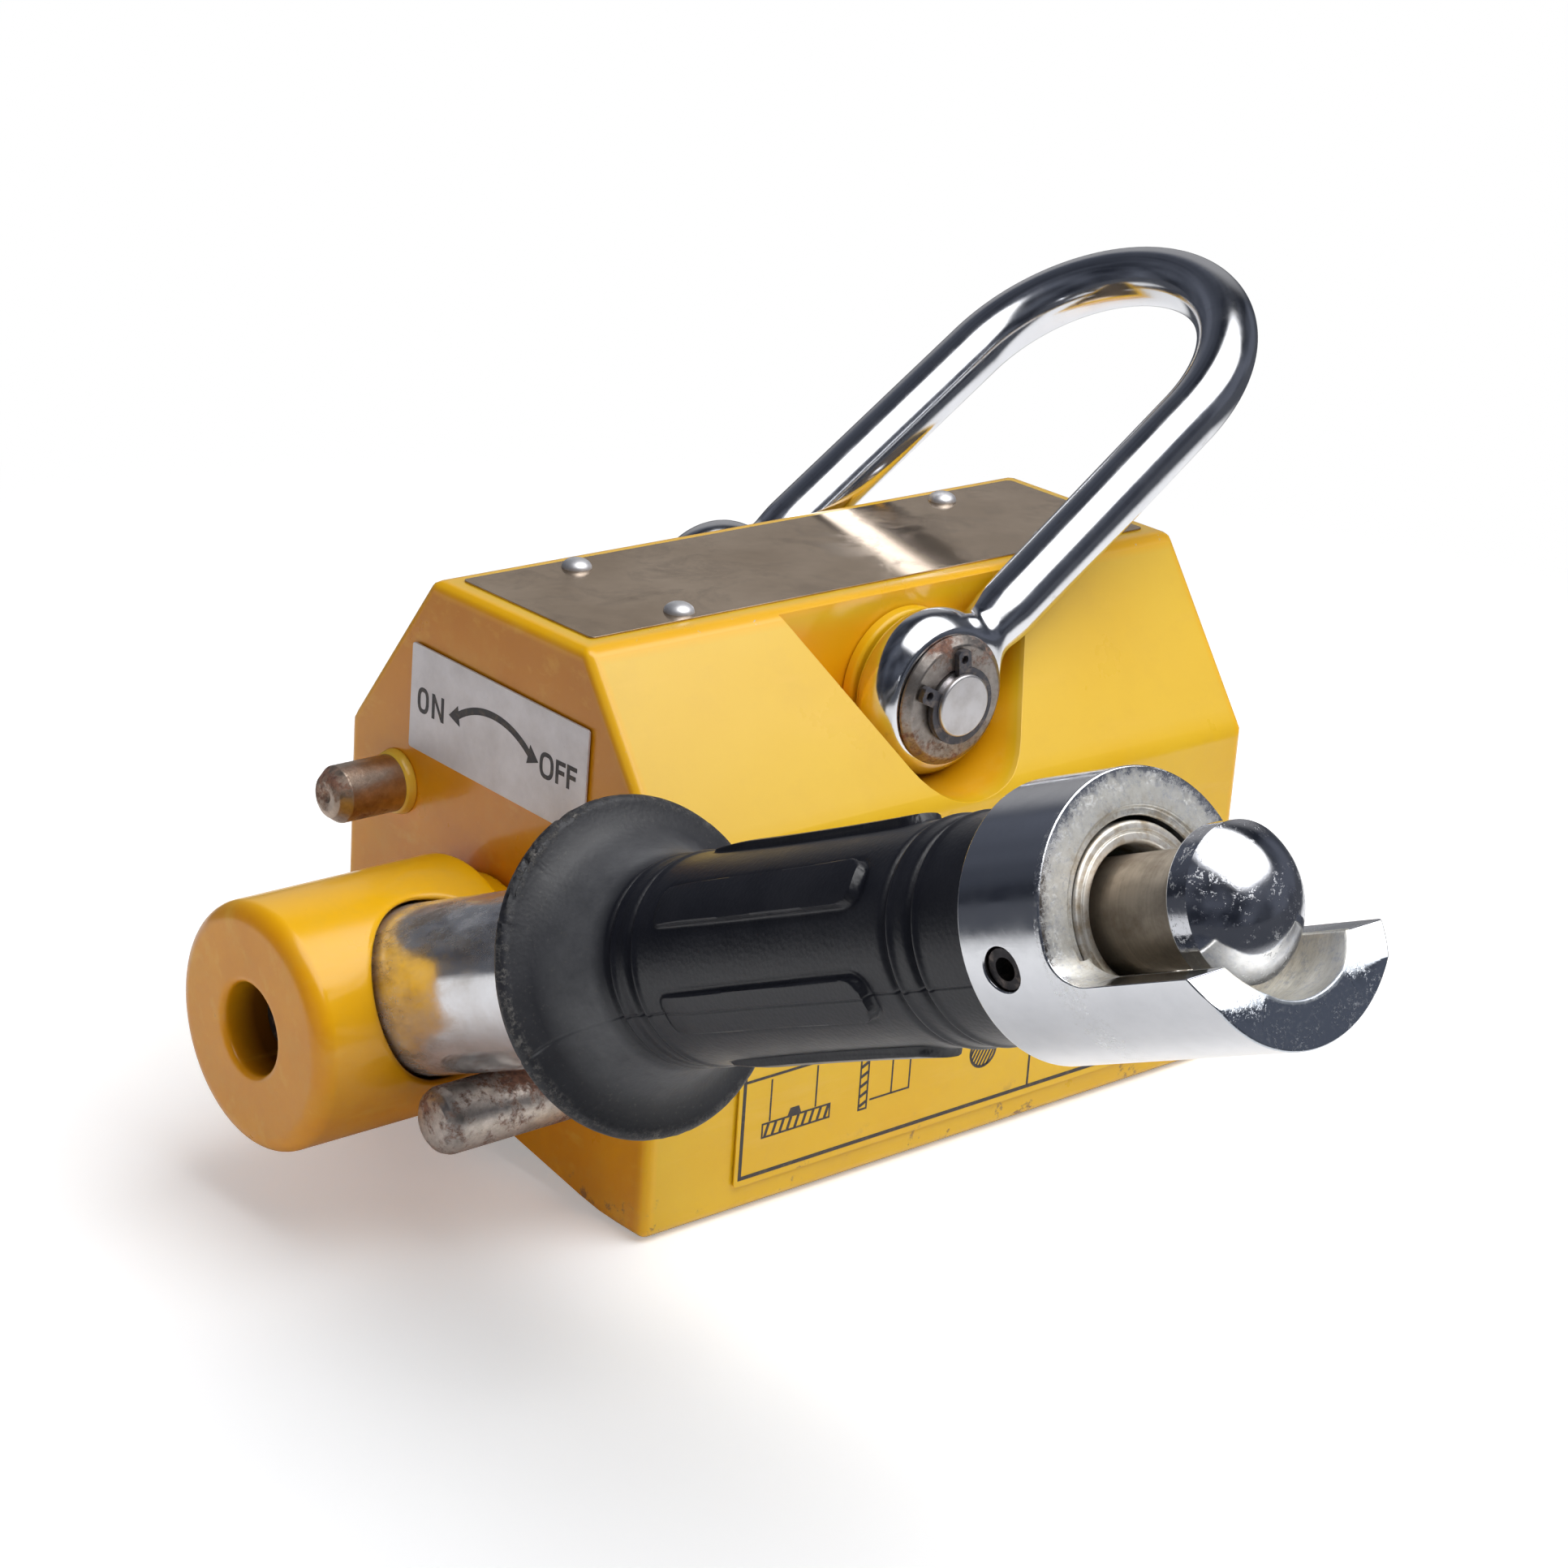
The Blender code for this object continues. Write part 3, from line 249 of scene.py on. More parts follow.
def chrome_material(name="chrome", tint=(0.80, 0.81, 0.84), rough=0.07, pits=0.0, grime=0.0, wave=0.03):
    s = Shader(name, metallic=1.0)
    cloud = s.noise(6, 5, 0.6)
    colour = s.mix(s.ramp(cloud, 0.4, 0.75, 0.0, 0.5), tint, tuple(0.84 * c for c in tint))
    roughness = s.clouds(3.5, 6, 0.65, 0.35, 0.8, rough, rough + 0.12)
    normal = s.bump(s.noise(4.5, 3, 0.5), wave, 0.3)
    normal = s.bump(s.noise(0.8, 3, 0.6), 0.006, 0.5, normal)
    if grime:
        spots = s.clouds(2.0, 6, 0.75, 0.60, 0.72, 0.0, grime)
        colour = s.mix(spots, colour, (0.16, 0.10, 0.06))
        roughness = s.plus(roughness, s.times(spots, 0.35))
    if pits:
        specks = s.clouds(0.55, 4, 0.75, 0.56, 0.66)
        chosen = s.times(specks, s.clouds(2.5, 2, 0.5, 0.38, 0.6))
        normal = s.bump(chosen, 0.012 * pits, 1.0, normal)
        normal = s.bump(s.noise(1.5, 3, 0.6), 0.018 * pits, 0.5, normal)
        colour = s.mix(s.times(chosen, 0.7), colour, (0.90, 0.91, 0.93))
        roughness = s.plus(roughness, s.times(chosen, 0.4))
    return s.finish(Base_Color=colour, Roughness=roughness, Normal=normal)


def collar_material():
    """Bright plating outside, and a satin, slightly stained finish on the cut face and inside the shell."""
    s = Shader("collar_chrome", metallic=1.0)
    radius = s.distance((1, 1, 0))
    height = s.axis("Z")
    beyond = s.span(height, 130.85, 130.95)
    near_face = s.times(beyond, s.span(height, 135.4, 134.6))
    ragged = s.plus(radius, s.clouds(0.8, 6, 0.8, 0.3, 0.7, -0.9 * MM, 0.9 * MM))
    near_face = s.times(near_face, s.span(ragged, 13.7, 12.4))
    inside = s.times(beyond, s.span(radius, 9.7, 9.5))
    worn = s.clouds(7, 4, 0.6, 0.38, 0.58, 0.85, 1.0)
    worn = s.most(worn, s.span(radius, 12.0, 10.6))
    satin = s.most(s.times(near_face, worn), inside)
    cloud = s.noise(4, 5, 0.65)
    bright = s.mix(s.ramp(cloud, 0.4, 0.75, 0.0, 0.5), (0.80, 0.81, 0.84), (0.66, 0.67, 0.70))
    marks = s.noise(1.4, 4, 0.7, s.stretched((1.0, 1.0, 7.0)))
    dull = s.mix(s.ramp(marks, 0.3, 0.75), (0.86, 0.85, 0.80), (0.66, 0.64, 0.58))
    dull = s.mix(s.clouds(0.9, 6, 0.8, 0.50, 0.66, 0.0, 0.6), dull, (0.40, 0.43, 0.50))
    stain = s.times(s.clouds(2.6, 6, 0.75, 0.47, 0.62), s.span(radius, 11.6, 9.3))
    stain = s.times(stain, s.span(height, 137, 133, 0.15, 1.0))
    dull = s.mix(s.times(stain, 0.75), dull, (0.36, 0.27, 0.15))
    rust = s.clouds(1.3, 4, 0.7, 0.70, 0.74)
    dull = s.mix(rust, dull, (0.25, 0.10, 0.04))
    colour = s.mix(satin, bright, dull)
    plain_rough = s.ramp(cloud, 0.35, 0.8, 0.10, 0.24)
    satin_rough = s.ramp(marks, 0.3, 0.7, 0.36, 0.52)
    difference = s.minus(satin_rough, plain_rough)
    roughness = s.plus(plain_rough, s.times(satin, difference))
    specks = s.times(s.clouds(0.42, 3, 0.75, 0.50, 0.64), s.clouds(3.0, 3, 0.6, 0.34, 0.6))
    on_end = s.span(height, 149.2, 149.5)
    on_face = s.times(beyond, s.span(radius, 10.6, 12.0))
    on_face = s.times(on_face, s.span(height, 134.4, 134.0))
    speckled = s.times(specks, s.most(on_end, on_face))
    # Painted dark reflection: the shell's cut end is tinted a darker blue-grey
    colour = s.mix(s.times(on_end, 0.8), colour, (0.50, 0.55, 0.62))
    colour = s.mix(s.times(speckled, 0.6), colour, (0.93, 0.94, 0.96))
    roughness = s.plus(roughness, s.times(speckled, 0.25))
    normal = s.bump(speckled, 0.012, 1.0)
    normal = s.bump(s.noise(0.7, 3, 0.6), 0.006, 0.5, normal)
    normal = s.bump(s.noise(4.5, 3, 0.5), 0.03, 0.3, normal)
    dusty = s.times(near_face, s.ramp(marks, 0.3, 0.75, 0.5, 0.25))
    return s.finish(Base_Color=colour, Roughness=roughness, Metallic=s.minus(1.0, dusty), Normal=normal)


def tube_material():
    """Bright plating with grime towards the hub, and bare stained steel at the end inside the collar."""
    s = Shader("tube_chrome", metallic=1.0)
    height = s.axis("Z")
    cloud = s.noise(5, 5, 0.65)
    bright = s.mix(s.ramp(cloud, 0.4, 0.75, 0.0, 0.6), (0.80, 0.80, 0.82), (0.60, 0.58, 0.57))
    dusty_top = s.span(s.axis("Y"), 1.5, 8, 0.0, 0.9)
    near_hub = s.most(s.span(height, 33, 15, 0.12, 0.9), dusty_top)
    grime = s.times(s.ramp(s.noise(4.0, 7, 0.75, s.stretched((1, 1, 0.45))), 0.44, 0.66), near_hub)
    grime = s.plus(grime, s.clouds(1.6, 6, 0.75, 0.64, 0.74, 0.0, 0.4))
    bright = s.mix(s.times(grime, 0.75), bright, (0.26, 0.19, 0.115))
    ring = s.span(height, 118, 119)
    worn = s.mix(s.clouds(1.6, 5, 0.7, 0.45, 0.7), (0.86, 0.83, 0.77), (0.52, 0.42, 0.29))
    colour = s.mix(ring, bright, worn)
    base = s.plus(s.ramp(cloud, 0.3, 0.8, 0.08, 0.2), s.times(grime, 0.3))
    roughness = s.most(base, s.times(ring, 0.42))
    haze = s.times(s.ramp(s.noise(7, 7, 0.75, s.stretched((1, 1, 0.5))), 0.36, 0.66), near_hub)
    metallic = s.minus(0.97, s.times(haze, 0.50))
    normal = s.bump(s.noise(5, 3, 0.5), 0.03, 0.3)
    normal = s.bump(s.noise(0.8, 3, 0.6), 0.006, 0.5, normal)
    return s.finish(Base_Color=colour, Roughness=roughness, Metallic=metallic, Normal=normal)


def rusty_steel_material(name="rusty_steel", rust=0.5, tint=(0.42, 0.39, 0.37)):
    """Bare steel with fine speckled rust, denser in patches."""
    s = Shader(name)
    dense = s.noise(7.0, 4, 0.6)
    speckle = s.noise(1.1, 8, 0.8)
    mixed = s.plus(s.times(dense, 0.55), s.times(speckle, 0.45))
    patches = s.ramp(mixed, 0.57 - 0.14 * rust, 0.65 - 0.14 * rust)
    deep = s.clouds(0.8, 6, 0.75, 0.4, 0.65)
    rust_colour = s.mix(deep, (0.27, 0.135, 0.09), (0.095, 0.05, 0.04))
    steel = s.mix(s.clouds(1.6, 6, 0.7, 0.35, 0.7), tint, tuple(0.6 * c for c in tint))
    colour = s.mix(patches, steel, rust_colour)
    metallic = s.ramp(patches, 0.0, 1.0, 0.92, 0.1)
    rough = s.ramp(patches, 0.0, 1.0, 0.30, 0.75)
    normal = s.bump(s.noise(0.6, 6, 0.75), 0.07, 0.7)
    return s.finish(Base_Color=colour, Metallic=metallic, Roughness=rough, Normal=normal)


def turned_steel_material(name, tint, rough=0.32, rings=0.25, fineness=9, stain=0.0,
                          stain_colour=(0.20, 0.15, 0.10)):
    """Machined steel with fine marks running round the turned axis, local Z."""
    s = Shader(name, metallic=0.95)
    marks = s.noise(2.6, 3, 0.6, s.stretched((0.15, 0.15, fineness)))
    cloud = s.noise(4, 5, 0.65)
    colour = s.mix(s.ramp(marks, 0.3, 0.75, 0.0, 0.55), tint, tuple(0.7 * c for c in tint))
    if stain:
        colour = s.mix(s.ramp(cloud, 0.42, 0.7, 0.0, stain), colour, stain_colour)
    roughness = s.ramp(cloud, 0.3, 0.75, rough, rough + 0.18)
    normal = s.bump(marks, 0.03, rings)
    return s.finish(Base_Color=colour, Roughness=roughness, Normal=normal)


def dark_steel_material(name="dark_steel", base=(0.045, 0.042, 0.045), rubbed=(0.17, 0.14, 0.125)):
    s = Shader(name, metallic=0.85)
    worn = s.clouds(1.6, 6, 0.7, 0.5, 0.68)
    colour = s.mix(worn, base, rubbed)
    return s.finish(Base_Color=colour, Roughness=s.clouds(1.0, 4, 0.6, 0.3, 0.7, 0.36, 0.6),
                    Normal=s.bump(s.noise(0.7, 4, 0.6), 0.03, 0.5))


def rubber_material():
    s = Shader("grip_rubber", Specular_IOR_Level=0.55)
    wear = s.noise(8, 6, 0.65)
    colour = s.mix(s.ramp(wear, 0.4, 0.75), (0.0060, 0.0065, 0.0105), (0.0135, 0.0140, 0.0195))
    radius = s.distance((1, 1, 0))
    guard = s.span(s.axis("Z"), 61.0, 59.2)
    # Lighter grey on the guard's flare: partly dust, partly a painted sheen, strongest towards the barrel
    haze = s.times(s.clouds(5, 6, 0.7, 0.35, 0.75, 0.5, 1.0),
                  s.span(radius, 15.6, 13.0, 0.10, 1.0))
    colour = s.mix(s.times(guard, haze), colour, (0.105, 0.107, 0.114))
    rim = s.times(s.span(radius, 17.6, 18.4), s.clouds(1.1, 6, 0.8, 0.50, 0.62))
    rim = s.times(rim, s.clouds(14, 2, 0.5, 0.42, 0.56, 0.25, 1.0))
    colour = s.mix(s.times(rim, 0.8), colour, (0.16, 0.15, 0.135))
    dust = s.clouds(0.9, 5, 0.8, 0.66, 0.76, 0.0, 0.5)
    fine = s.times(guard, s.clouds(0.45, 3, 0.7, 0.60, 0.72, 0.0, 0.35))
    colour = s.mix(s.most(dust, fine), colour, (0.12, 0.112, 0.095))
    rough = s.plus(s.ramp(wear, 0.3, 0.75, 0.31, 0.44), s.times(guard, 0.12))
    grain = s.bump(s.cells(0.55), 0.03, 0.6)
    normal = s.bump(s.noise(0.7, 4, 0.75), 0.03, 0.5, grain)
    normal = s.bump(rim, 0.12, 0.6, normal)
    return s.finish(Base_Color=colour, Roughness=rough, Normal=normal)


def plate_material():
    """Thin polished metal, browned and smudged, that mirrors the shackle's leg."""
    s = Shader("etched_plate", metallic=0.9)
    cloud = s.noise(17, 6, 0.62)
    colour = s.mix(s.ramp(cloud, 0.3, 0.72), (0.42, 0.30, 0.185), (0.63, 0.485, 0.34))
    smudge = s.ramp(s.noise(8, 6, 0.7, distortion=0.6), 0.5, 0.72, 0.0, 0.55)
    colour = s.mix(smudge, colour, (0.24, 0.17, 0.11))
    drawn_out = s.stretched((1.0, 14.0, 1.0), rotation=(0, 0, 0.3))
    grain = s.ramp(s.noise(3.0, 5, 0.7, drawn_out), 0.62, 0.74, 0.0, 0.25)
    colour = s.mix(grain, colour, (0.66, 0.60, 0.52))
    normal = s.bump(s.noise(22, 2, 0.5), 0.04, 0.4)
    normal = s.bump(s.noise(9, 4, 0.6), 0.010, 0.6, normal)
    return s.finish(Base_Color=colour, Roughness=s.ramp(smudge, 0.0, 0.5, 0.10, 0.27), Normal=normal)


def aluminium_material():
    s = Shader("rivet_aluminium", metallic=0.85)
    cloud = s.noise(1.2, 5, 0.65)
    colour = s.mix(s.ramp(cloud, 0.35, 0.75), (0.86, 0.86, 0.88), (0.62, 0.61, 0.62))
    return s.finish(Base_Color=colour, Roughness=s.ramp(cloud, 0.3, 0.7, 0.38, 0.52),
                    Normal=s.bump(s.noise(0.6, 3, 0.6), 0.02, 0.5))


def foil_material():
    s = Shader("silver_foil", metallic=0.3, Specular_IOR_Level=0.5)
    cloud = s.noise(5, 5, 0.65)
    colour = s.mix(s.ramp(cloud, 0.35, 0.75), (0.72, 0.69, 0.71), (0.60, 0.57, 0.58))
    dirt = s.clouds(1.5, 6, 0.8, 0.62, 0.76, 0.0, 0.35)
    colour = s.mix(dirt, colour, (0.30, 0.24, 0.20))
    drawn_out = s.stretched((1.0, 0.5, 4.0), rotation=(0.6, 0, 0))
    scuff = s.ramp(s.noise(2.5, 5, 0.7, drawn_out), 0.66, 0.73, 0.0, 0.4)
    colour = s.mix(scuff, colour, (0.36, 0.33, 0.33))
    return s.finish(Base_Color=colour, Roughness=s.ramp(cloud, 0.3, 0.7, 0.36, 0.5),
                    Normal=s.bump(s.noise(9, 3, 0.5), 0.06, 0.5))


def ink_material():
    s = Shader("dark_ink", roughness=0.45)
    faded = s.clouds(1.0, 5, 0.7, 0.5, 0.75, 0.0, 0.6)
    return s.finish(Base_Color=s.mix(faded, (0.035, 0.030, 0.035), (0.16, 0.12, 0.07)))


def metal_material(name, colour, rough=0.35, metallic=1.0):
    s = Shader(name, metallic=metallic)
    marks = s.noise(3, 5, 0.6, s.stretched((6, 1, 1)))
    shade = s.mix(s.ramp(marks, 0.3, 0.75), colour, tuple(0.75 * c for c in colour))
    return s.finish(Base_Color=shade, Roughness=s.ramp(marks, 0.3, 0.7, rough, rough + 0.15),
                    Normal=s.bump(marks, 0.03, 0.3))


PAINT = paint_material()
HUB_PAINT = paint_material("hub_paint", False)
CHROME = chrome_material("shackle_chrome", rough=0.10, grime=0.25)
TUBE_CHROME = tube_material()
COLLAR_CHROME = collar_material()
KNOB_CHROME = chrome_material("knob_chrome", (0.67, 0.68, 0.72), rough=0.08, pits=1.0)
RIVET = aluminium_material()
RUSTY = rusty_steel_material("pin_steel", 0.66, (0.62, 0.56, 0.51))
WORN = rusty_steel_material("catch_steel", 0.35, (0.54, 0.43, 0.345))
WASHER_STEEL = rusty_steel_material("washer_steel", 0.45, (0.40, 0.36, 0.33))
PIN_STEEL = turned_steel_material("pin_end_steel", (0.72, 0.70, 0.71), 0.3, 0.2, stain=0.25)
NECK_STEEL = turned_steel_material("neck_steel", (0.54, 0.47, 0.39), 0.36, 0.9, 10, 0.55,
                                   (0.17, 0.125, 0.085))
DARK = dark_steel_material()
CLIP_STEEL = dark_steel_material("clip_steel", (0.10, 0.10, 0.115), (0.24, 0.20, 0.18))
RUBBER = rubber_material()
PLATE = plate_material()
FOIL = foil_material()
INK = ink_material()
BRONZE = metal_material("bronze_bush", (0.60, 0.40, 0.17))
BRASS = metal_material("brass_strip", (0.72, 0.54, 0.22), 0.4)
MAGNET = metal_material("magnet_plating", (0.40, 0.40, 0.42), 0.25)
POLE = metal_material("pole_steel", (0.42, 0.41, 0.40), 0.3)


# ---------------------------------------------------------------- mesh tools

def placed(name, data, matrix=None):
    """A new object in the scene."""
    obj = bpy.data.objects.new(name, data)
    bpy.context.scene.collection.objects.link(obj)
    if matrix is not None:
        obj.matrix_world = matrix
    return obj


def finish_object(name, mesh, body, material, matrix=None, replaces=(), smooth=35, weighted=True):
    """Places one piece and says what it rides on and what it stands in for."""
    obj = placed(name, mesh, matrix)
    if material is not None:
        mesh.materials.clear()
        mesh.materials.append(material)
    if smooth:
        mesh.shade_smooth()
        mesh.set_sharp_from_angle(angle=math.radians(smooth))
    if weighted:
        modifier = obj.modifiers.new("even_normals", "WEIGHTED_NORMAL")
        modifier.keep_sharp = True
        modifier.weight = 80
    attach(obj, body)
    if replaces:
        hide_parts(*replaces)
    return obj


def mesh_from(bm, name):
    bmesh.ops.recalc_face_normals(bm, faces=bm.faces)
    mesh = bpy.data.meshes.new(name)
    bm.to_mesh(mesh)
    bm.free()
    return mesh


def mm(*points):
    """Points given in millimetres. A third number, a corner's radius, stays as it is."""
    return [(a * MM, b * MM, *radius) for a, b, *radius in points]


def around(count):
    """Even steps round a circle."""
    return np.linspace(0, 2 * math.pi, count + 1)[:-1]


def fillet(points, steps=4, closed=False):
    """Rounds each corner of an outline. A point is (x, y) or (x, y, radius), radius in millimetres."""
    result = []
    count = len(points)
    for index, point in enumerate(points):
        corner = Vector(point[:2])
        radius = point[2] * MM if len(point) > 2 else 0
        ends = not closed and index in (0, count - 1)
        if radius <= 0 or ends:
            result.append(tuple(corner))
            continue
        before = (Vector(points[index - 1][:2]) - corner)
        after = (Vector(points[(index + 1) % count][:2]) - corner)
        angle = before.angle(after)
        reach = min(radius / math.tan(angle / 2), 0.49 * before.length, 0.49 * after.length)
        radius = reach * math.tan(angle / 2)
        start = corner + before.normalized() * reach
        middle = (before.normalized() + after.normalized()).normalized()
        centre = corner + middle * (radius / math.sin(angle / 2))
        first = start - centre
        last = corner + after.normalized() * reach - centre
        sweep = first.angle_signed(last)
        for step in range(steps + 1):
            turn = Matrix.Rotation(-sweep * step / steps, 2)
            result.append(tuple(centre + turn @ first))
    return result


def lathe(bm, profile, segments=96, closed=True):
    """Turns an outline of (radius, z) points round Z."""
    rings = []
    for radius, z in profile:
        if radius < 1e-7:
            rings.append([bm.verts.new((0, 0, z))])
            continue
        rings.append([bm.verts.new((radius * math.cos(2 * math.pi * k / segments),
                                    radius * math.sin(2 * math.pi * k / segments), z))
                      for k in range(segments)])
    pairs = list(zip(rings, rings[1:])) + ([(rings[-1], rings[0])] if closed else [])
    for low, high in pairs:
        for k in range(segments):
            n = (k + 1) % segments
            corners = []
            for vert in (low[k % len(low)], low[n % len(low)], high[n % len(high)], high[k % len(high)]):
                if vert not in corners:
                    corners.append(vert)
            if len(corners) > 2:
                bm.faces.new(corners)


def turned(name, body, material, outline, matrix, replaces=(), segments=96, closed=True, steps=4,
           smooth=35):
    bm = bmesh.new()
    lathe(bm, fillet(outline, steps, closed), segments, closed)
    return finish_object(name, mesh_from(bm, name), body, material, matrix, replaces, smooth)


def prism(bm, outline, low, high, axis="z"):
    """An outline drawn out along an axis, from low to high."""
    def place(a, b, c):
        return {"x": (c, a, b), "y": (a, c, b), "z": (a, b, c)}[axis]
    rings = [[bm.verts.new(place(a, b, c)) for a, b in outline] for c in (low, high)]
    bm.faces.new(rings[0])
    bm.faces.new(rings[1])
    for k in range(len(outline)):
        n = (k + 1) % len(outline)
        bm.faces.new((rings[0][k], rings[0][n], rings[1][n], rings[1][k]))


def cutter(name, matrix, build):
    """A tool for cut, whose mesh the build function makes."""
    bm = bmesh.new()
    build(bm)
    return placed(name, mesh_from(bm, name), matrix)


def round_edges(obj, width, segments, angle, clamp=True):
    """Rounds the edges sharper than angle degrees. Width is in millimetres."""
    bevel = obj.modifiers.new("edge", "BEVEL")
    bevel.width = width * MM
    bevel.segments = segments
    bevel.limit_method = "ANGLE"
    bevel.angle_limit = math.radians(angle)
    bevel.use_clamp_overlap = clamp
    apply_modifiers(obj)


def shade(obj, smooth, weighted=True):
    """Smooth shading, except across edges sharper than smooth degrees."""
    obj.data.shade_smooth()
    obj.data.set_sharp_from_angle(angle=math.radians(smooth))
    if weighted:
        obj.modifiers.new("even_normals", "WEIGHTED_NORMAL").keep_sharp = True


def weld(mesh, distance):
    """Joins corners that lie on each other and removes faces without area."""
    bm = bmesh.new()
    bm.from_mesh(mesh)
    bmesh.ops.remove_doubles(bm, verts=bm.verts, dist=distance)
    bmesh.ops.dissolve_degenerate(bm, edges=bm.edges, dist=distance)
    bm.to_mesh(mesh)
    bm.free()


def cut(obj, tool):
    """Applies a Boolean at once and removes the tool."""
    modifier = obj.modifiers.new("cut", "BOOLEAN")
    modifier.solver = "EXACT"
    modifier.operation = "DIFFERENCE"
    modifier.object = tool
    apply_modifiers(obj)
    weld(obj.data, 1e-5)
    bpy.data.objects.remove(tool, do_unlink=True)


def apply_modifiers(obj):
    """Keeps the mesh that the object's modifiers make."""
    bpy.context.view_layer.update()
    graph = bpy.context.evaluated_depsgraph_get()
    mesh = bpy.data.meshes.new_from_object(obj.evaluated_get(graph))
    obj.modifiers.clear()
    old = obj.data
    obj.data = mesh
    bpy.data.meshes.remove(old)


def welded_copy(node):
    """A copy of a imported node's mesh with its corners joined and its flat areas made whole faces."""
    mesh = nodes[node].data.copy()
    bm = bmesh.new()
    bm.from_mesh(mesh)
    bmesh.ops.remove_doubles(bm, verts=bm.verts, dist=2e-6)
    bmesh.ops.dissolve_limit(bm, angle_limit=math.radians(0.4), verts=bm.verts, edges=bm.edges)
    bm.to_mesh(mesh)
    bm.free()
    mesh.materials.clear()
    return mesh


def refined(node, name, body, material, width=0.3, segments=3, angle=40, smooth=35):
    """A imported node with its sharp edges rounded, which stands in for it."""
    mesh = welded_copy(node)
    obj = finish_object(name, mesh, body, material, None, (node,), 0, False)
    round_edges(obj, width, segments, angle)
    shade(obj, smooth)
    return obj


def field_mesh(name, base, field, voxel, rounds=4):
    """Remeshes base evenly, then moves every corner onto the surface where field is 0.

    field gives the distance to the surface for an array of points. Its slope gives the normals, so
    the piece shades as smoothly as the true shape."""
    obj = placed(name, base)
    remesh = obj.modifiers.new("even", "REMESH")
    remesh.mode = "VOXEL"
    remesh.voxel_size = voxel * MM
    apply_modifiers(obj)
    mesh = obj.data
    bpy.data.objects.remove(obj, do_unlink=True)
    points = np.zeros(len(mesh.vertices) * 3)
    mesh.vertices.foreach_get("co", points)
    points = points.reshape(-1, 3)
    step = 2e-6

    def slope(where):
        parts = []
        for axis in range(3):
            shift = np.zeros(3)
            shift[axis] = step
            parts.append((field(where + shift) - field(where - shift)) / (2 * step))
        return np.stack(parts, 1)

    for _ in range(rounds):
        gradient = slope(points)
        size = np.maximum((gradient ** 2).sum(1), 0.05)
        move = gradient * (field(points) / size)[:, None]
        length = np.linalg.norm(move, axis=1)
        limit = 0.8 * voxel * MM
        move *= np.minimum(1, limit / np.maximum(length, 1e-9))[:, None]
        points = points - move
    mesh.vertices.foreach_set("co", points.astype(np.float32).ravel())
    mesh.update()
    normals = slope(points)
    normals /= np.maximum(np.linalg.norm(normals, axis=1), 1e-9)[:, None]
    mesh.shade_smooth()
    mesh.normals_split_custom_set_from_vertices(normals.astype(np.float32))
    return mesh


def smooth_min(a, b, k):
    h = np.clip(0.5 + 0.5 * (b - a) / k, 0, 1)
    return b * (1 - h) + a * h - k * h * (1 - h)


def smooth_max(a, b, k):
    return -smooth_min(-a, -b, k)


# ---------------------------------------------------------------- block

def make_block():
    refined("housing", "block_body", "block", PAINT, 0.5, 3, 42)
    refined("rear_cover", "end_cover", "block", PAINT, 0.35, 3, 40)


# ---------------------------------------------------------------- shackle

LEG_OFFSET = 20.9 * MM
LEG_OFFSET_TOP = 19.9 * MM
LEG_LENGTH = 52.0 * MM
BOW_RISE = 22.0 * MM
BAR_RADIUS = 4.0 * MM


def bar_distance(points):
    """Distance from the bar's centre line, which runs up a leg, round the half-oval bow and down again."""
    x, y, z = points[:, 0], np.abs(points[:, 1]), points[:, 2]
    slope = (LEG_OFFSET_TOP - LEG_OFFSET) / LEG_LENGTH
    along = np.clip((z + slope * (y - LEG_OFFSET)) / (1 + slope * slope), 5.0 * MM, LEG_LENGTH)
    leg = np.sqrt(x ** 2 + (y - LEG_OFFSET - slope * along) ** 2 + (z - along) ** 2)
    up = np.maximum(z - LEG_LENGTH, 0)
    angle = np.arctan2(up / BOW_RISE, y / LEG_OFFSET_TOP)
    for _ in range(8):
        cos, sin = np.cos(angle), np.sin(angle)
        dy = LEG_OFFSET_TOP * cos - y
        dz = BOW_RISE * sin - up
        first = -dy * LEG_OFFSET_TOP * sin + dz * BOW_RISE * cos
        second = ((LEG_OFFSET_TOP * sin) ** 2 + (BOW_RISE * cos) ** 2
                  - dy * LEG_OFFSET_TOP * cos - dz * BOW_RISE * sin)
        angle = np.clip(angle - first / np.maximum(second, 1e-6), 0, math.pi / 2)
    bow_y = LEG_OFFSET_TOP * np.cos(angle) - y
    bow_z = LEG_LENGTH + BOW_RISE * np.sin(angle) - z
    bow = np.sqrt(x ** 2 + bow_y ** 2 + bow_z ** 2)
    return np.where(z > LEG_LENGTH, bow, leg)


def shackle_field(points):
    """Distance to the shackle: its bar, which thins towards the eyes, and an eye with a hole at each end."""
    eye_radius, eye_half, hole_radius = 10.8 * MM, 3.6 * MM, 4.4 * MM
    x, y, z = points[:, 0], np.abs(points[:, 1]), points[:, 2]
    across = y - LEG_OFFSET
    thin = np.clip((z - 9.5 * MM) / (6 * MM), 0, 1)
    radius = 3.55 * MM + (BAR_RADIUS - 3.55 * MM) * thin * thin * (3 - 2 * thin)
    bar = bar_distance(points) - radius
    round_z = np.sqrt(x ** 2 + z ** 2)
    ball = np.sqrt(round_z ** 2 + (across * 1.75) ** 2) - eye_radius
    eye = smooth_max(ball, np.abs(across) - eye_half, 0.5 * MM)
    both = smooth_min(bar, eye, 2.2 * MM)
    both = smooth_max(both, np.abs(across) - 3.62 * MM - 10 * np.clip(z - 12 * MM, 0, 1), 0.3 * MM)
    hole = hole_radius - round_z
    return smooth_max(both, hole, 0.5 * MM)


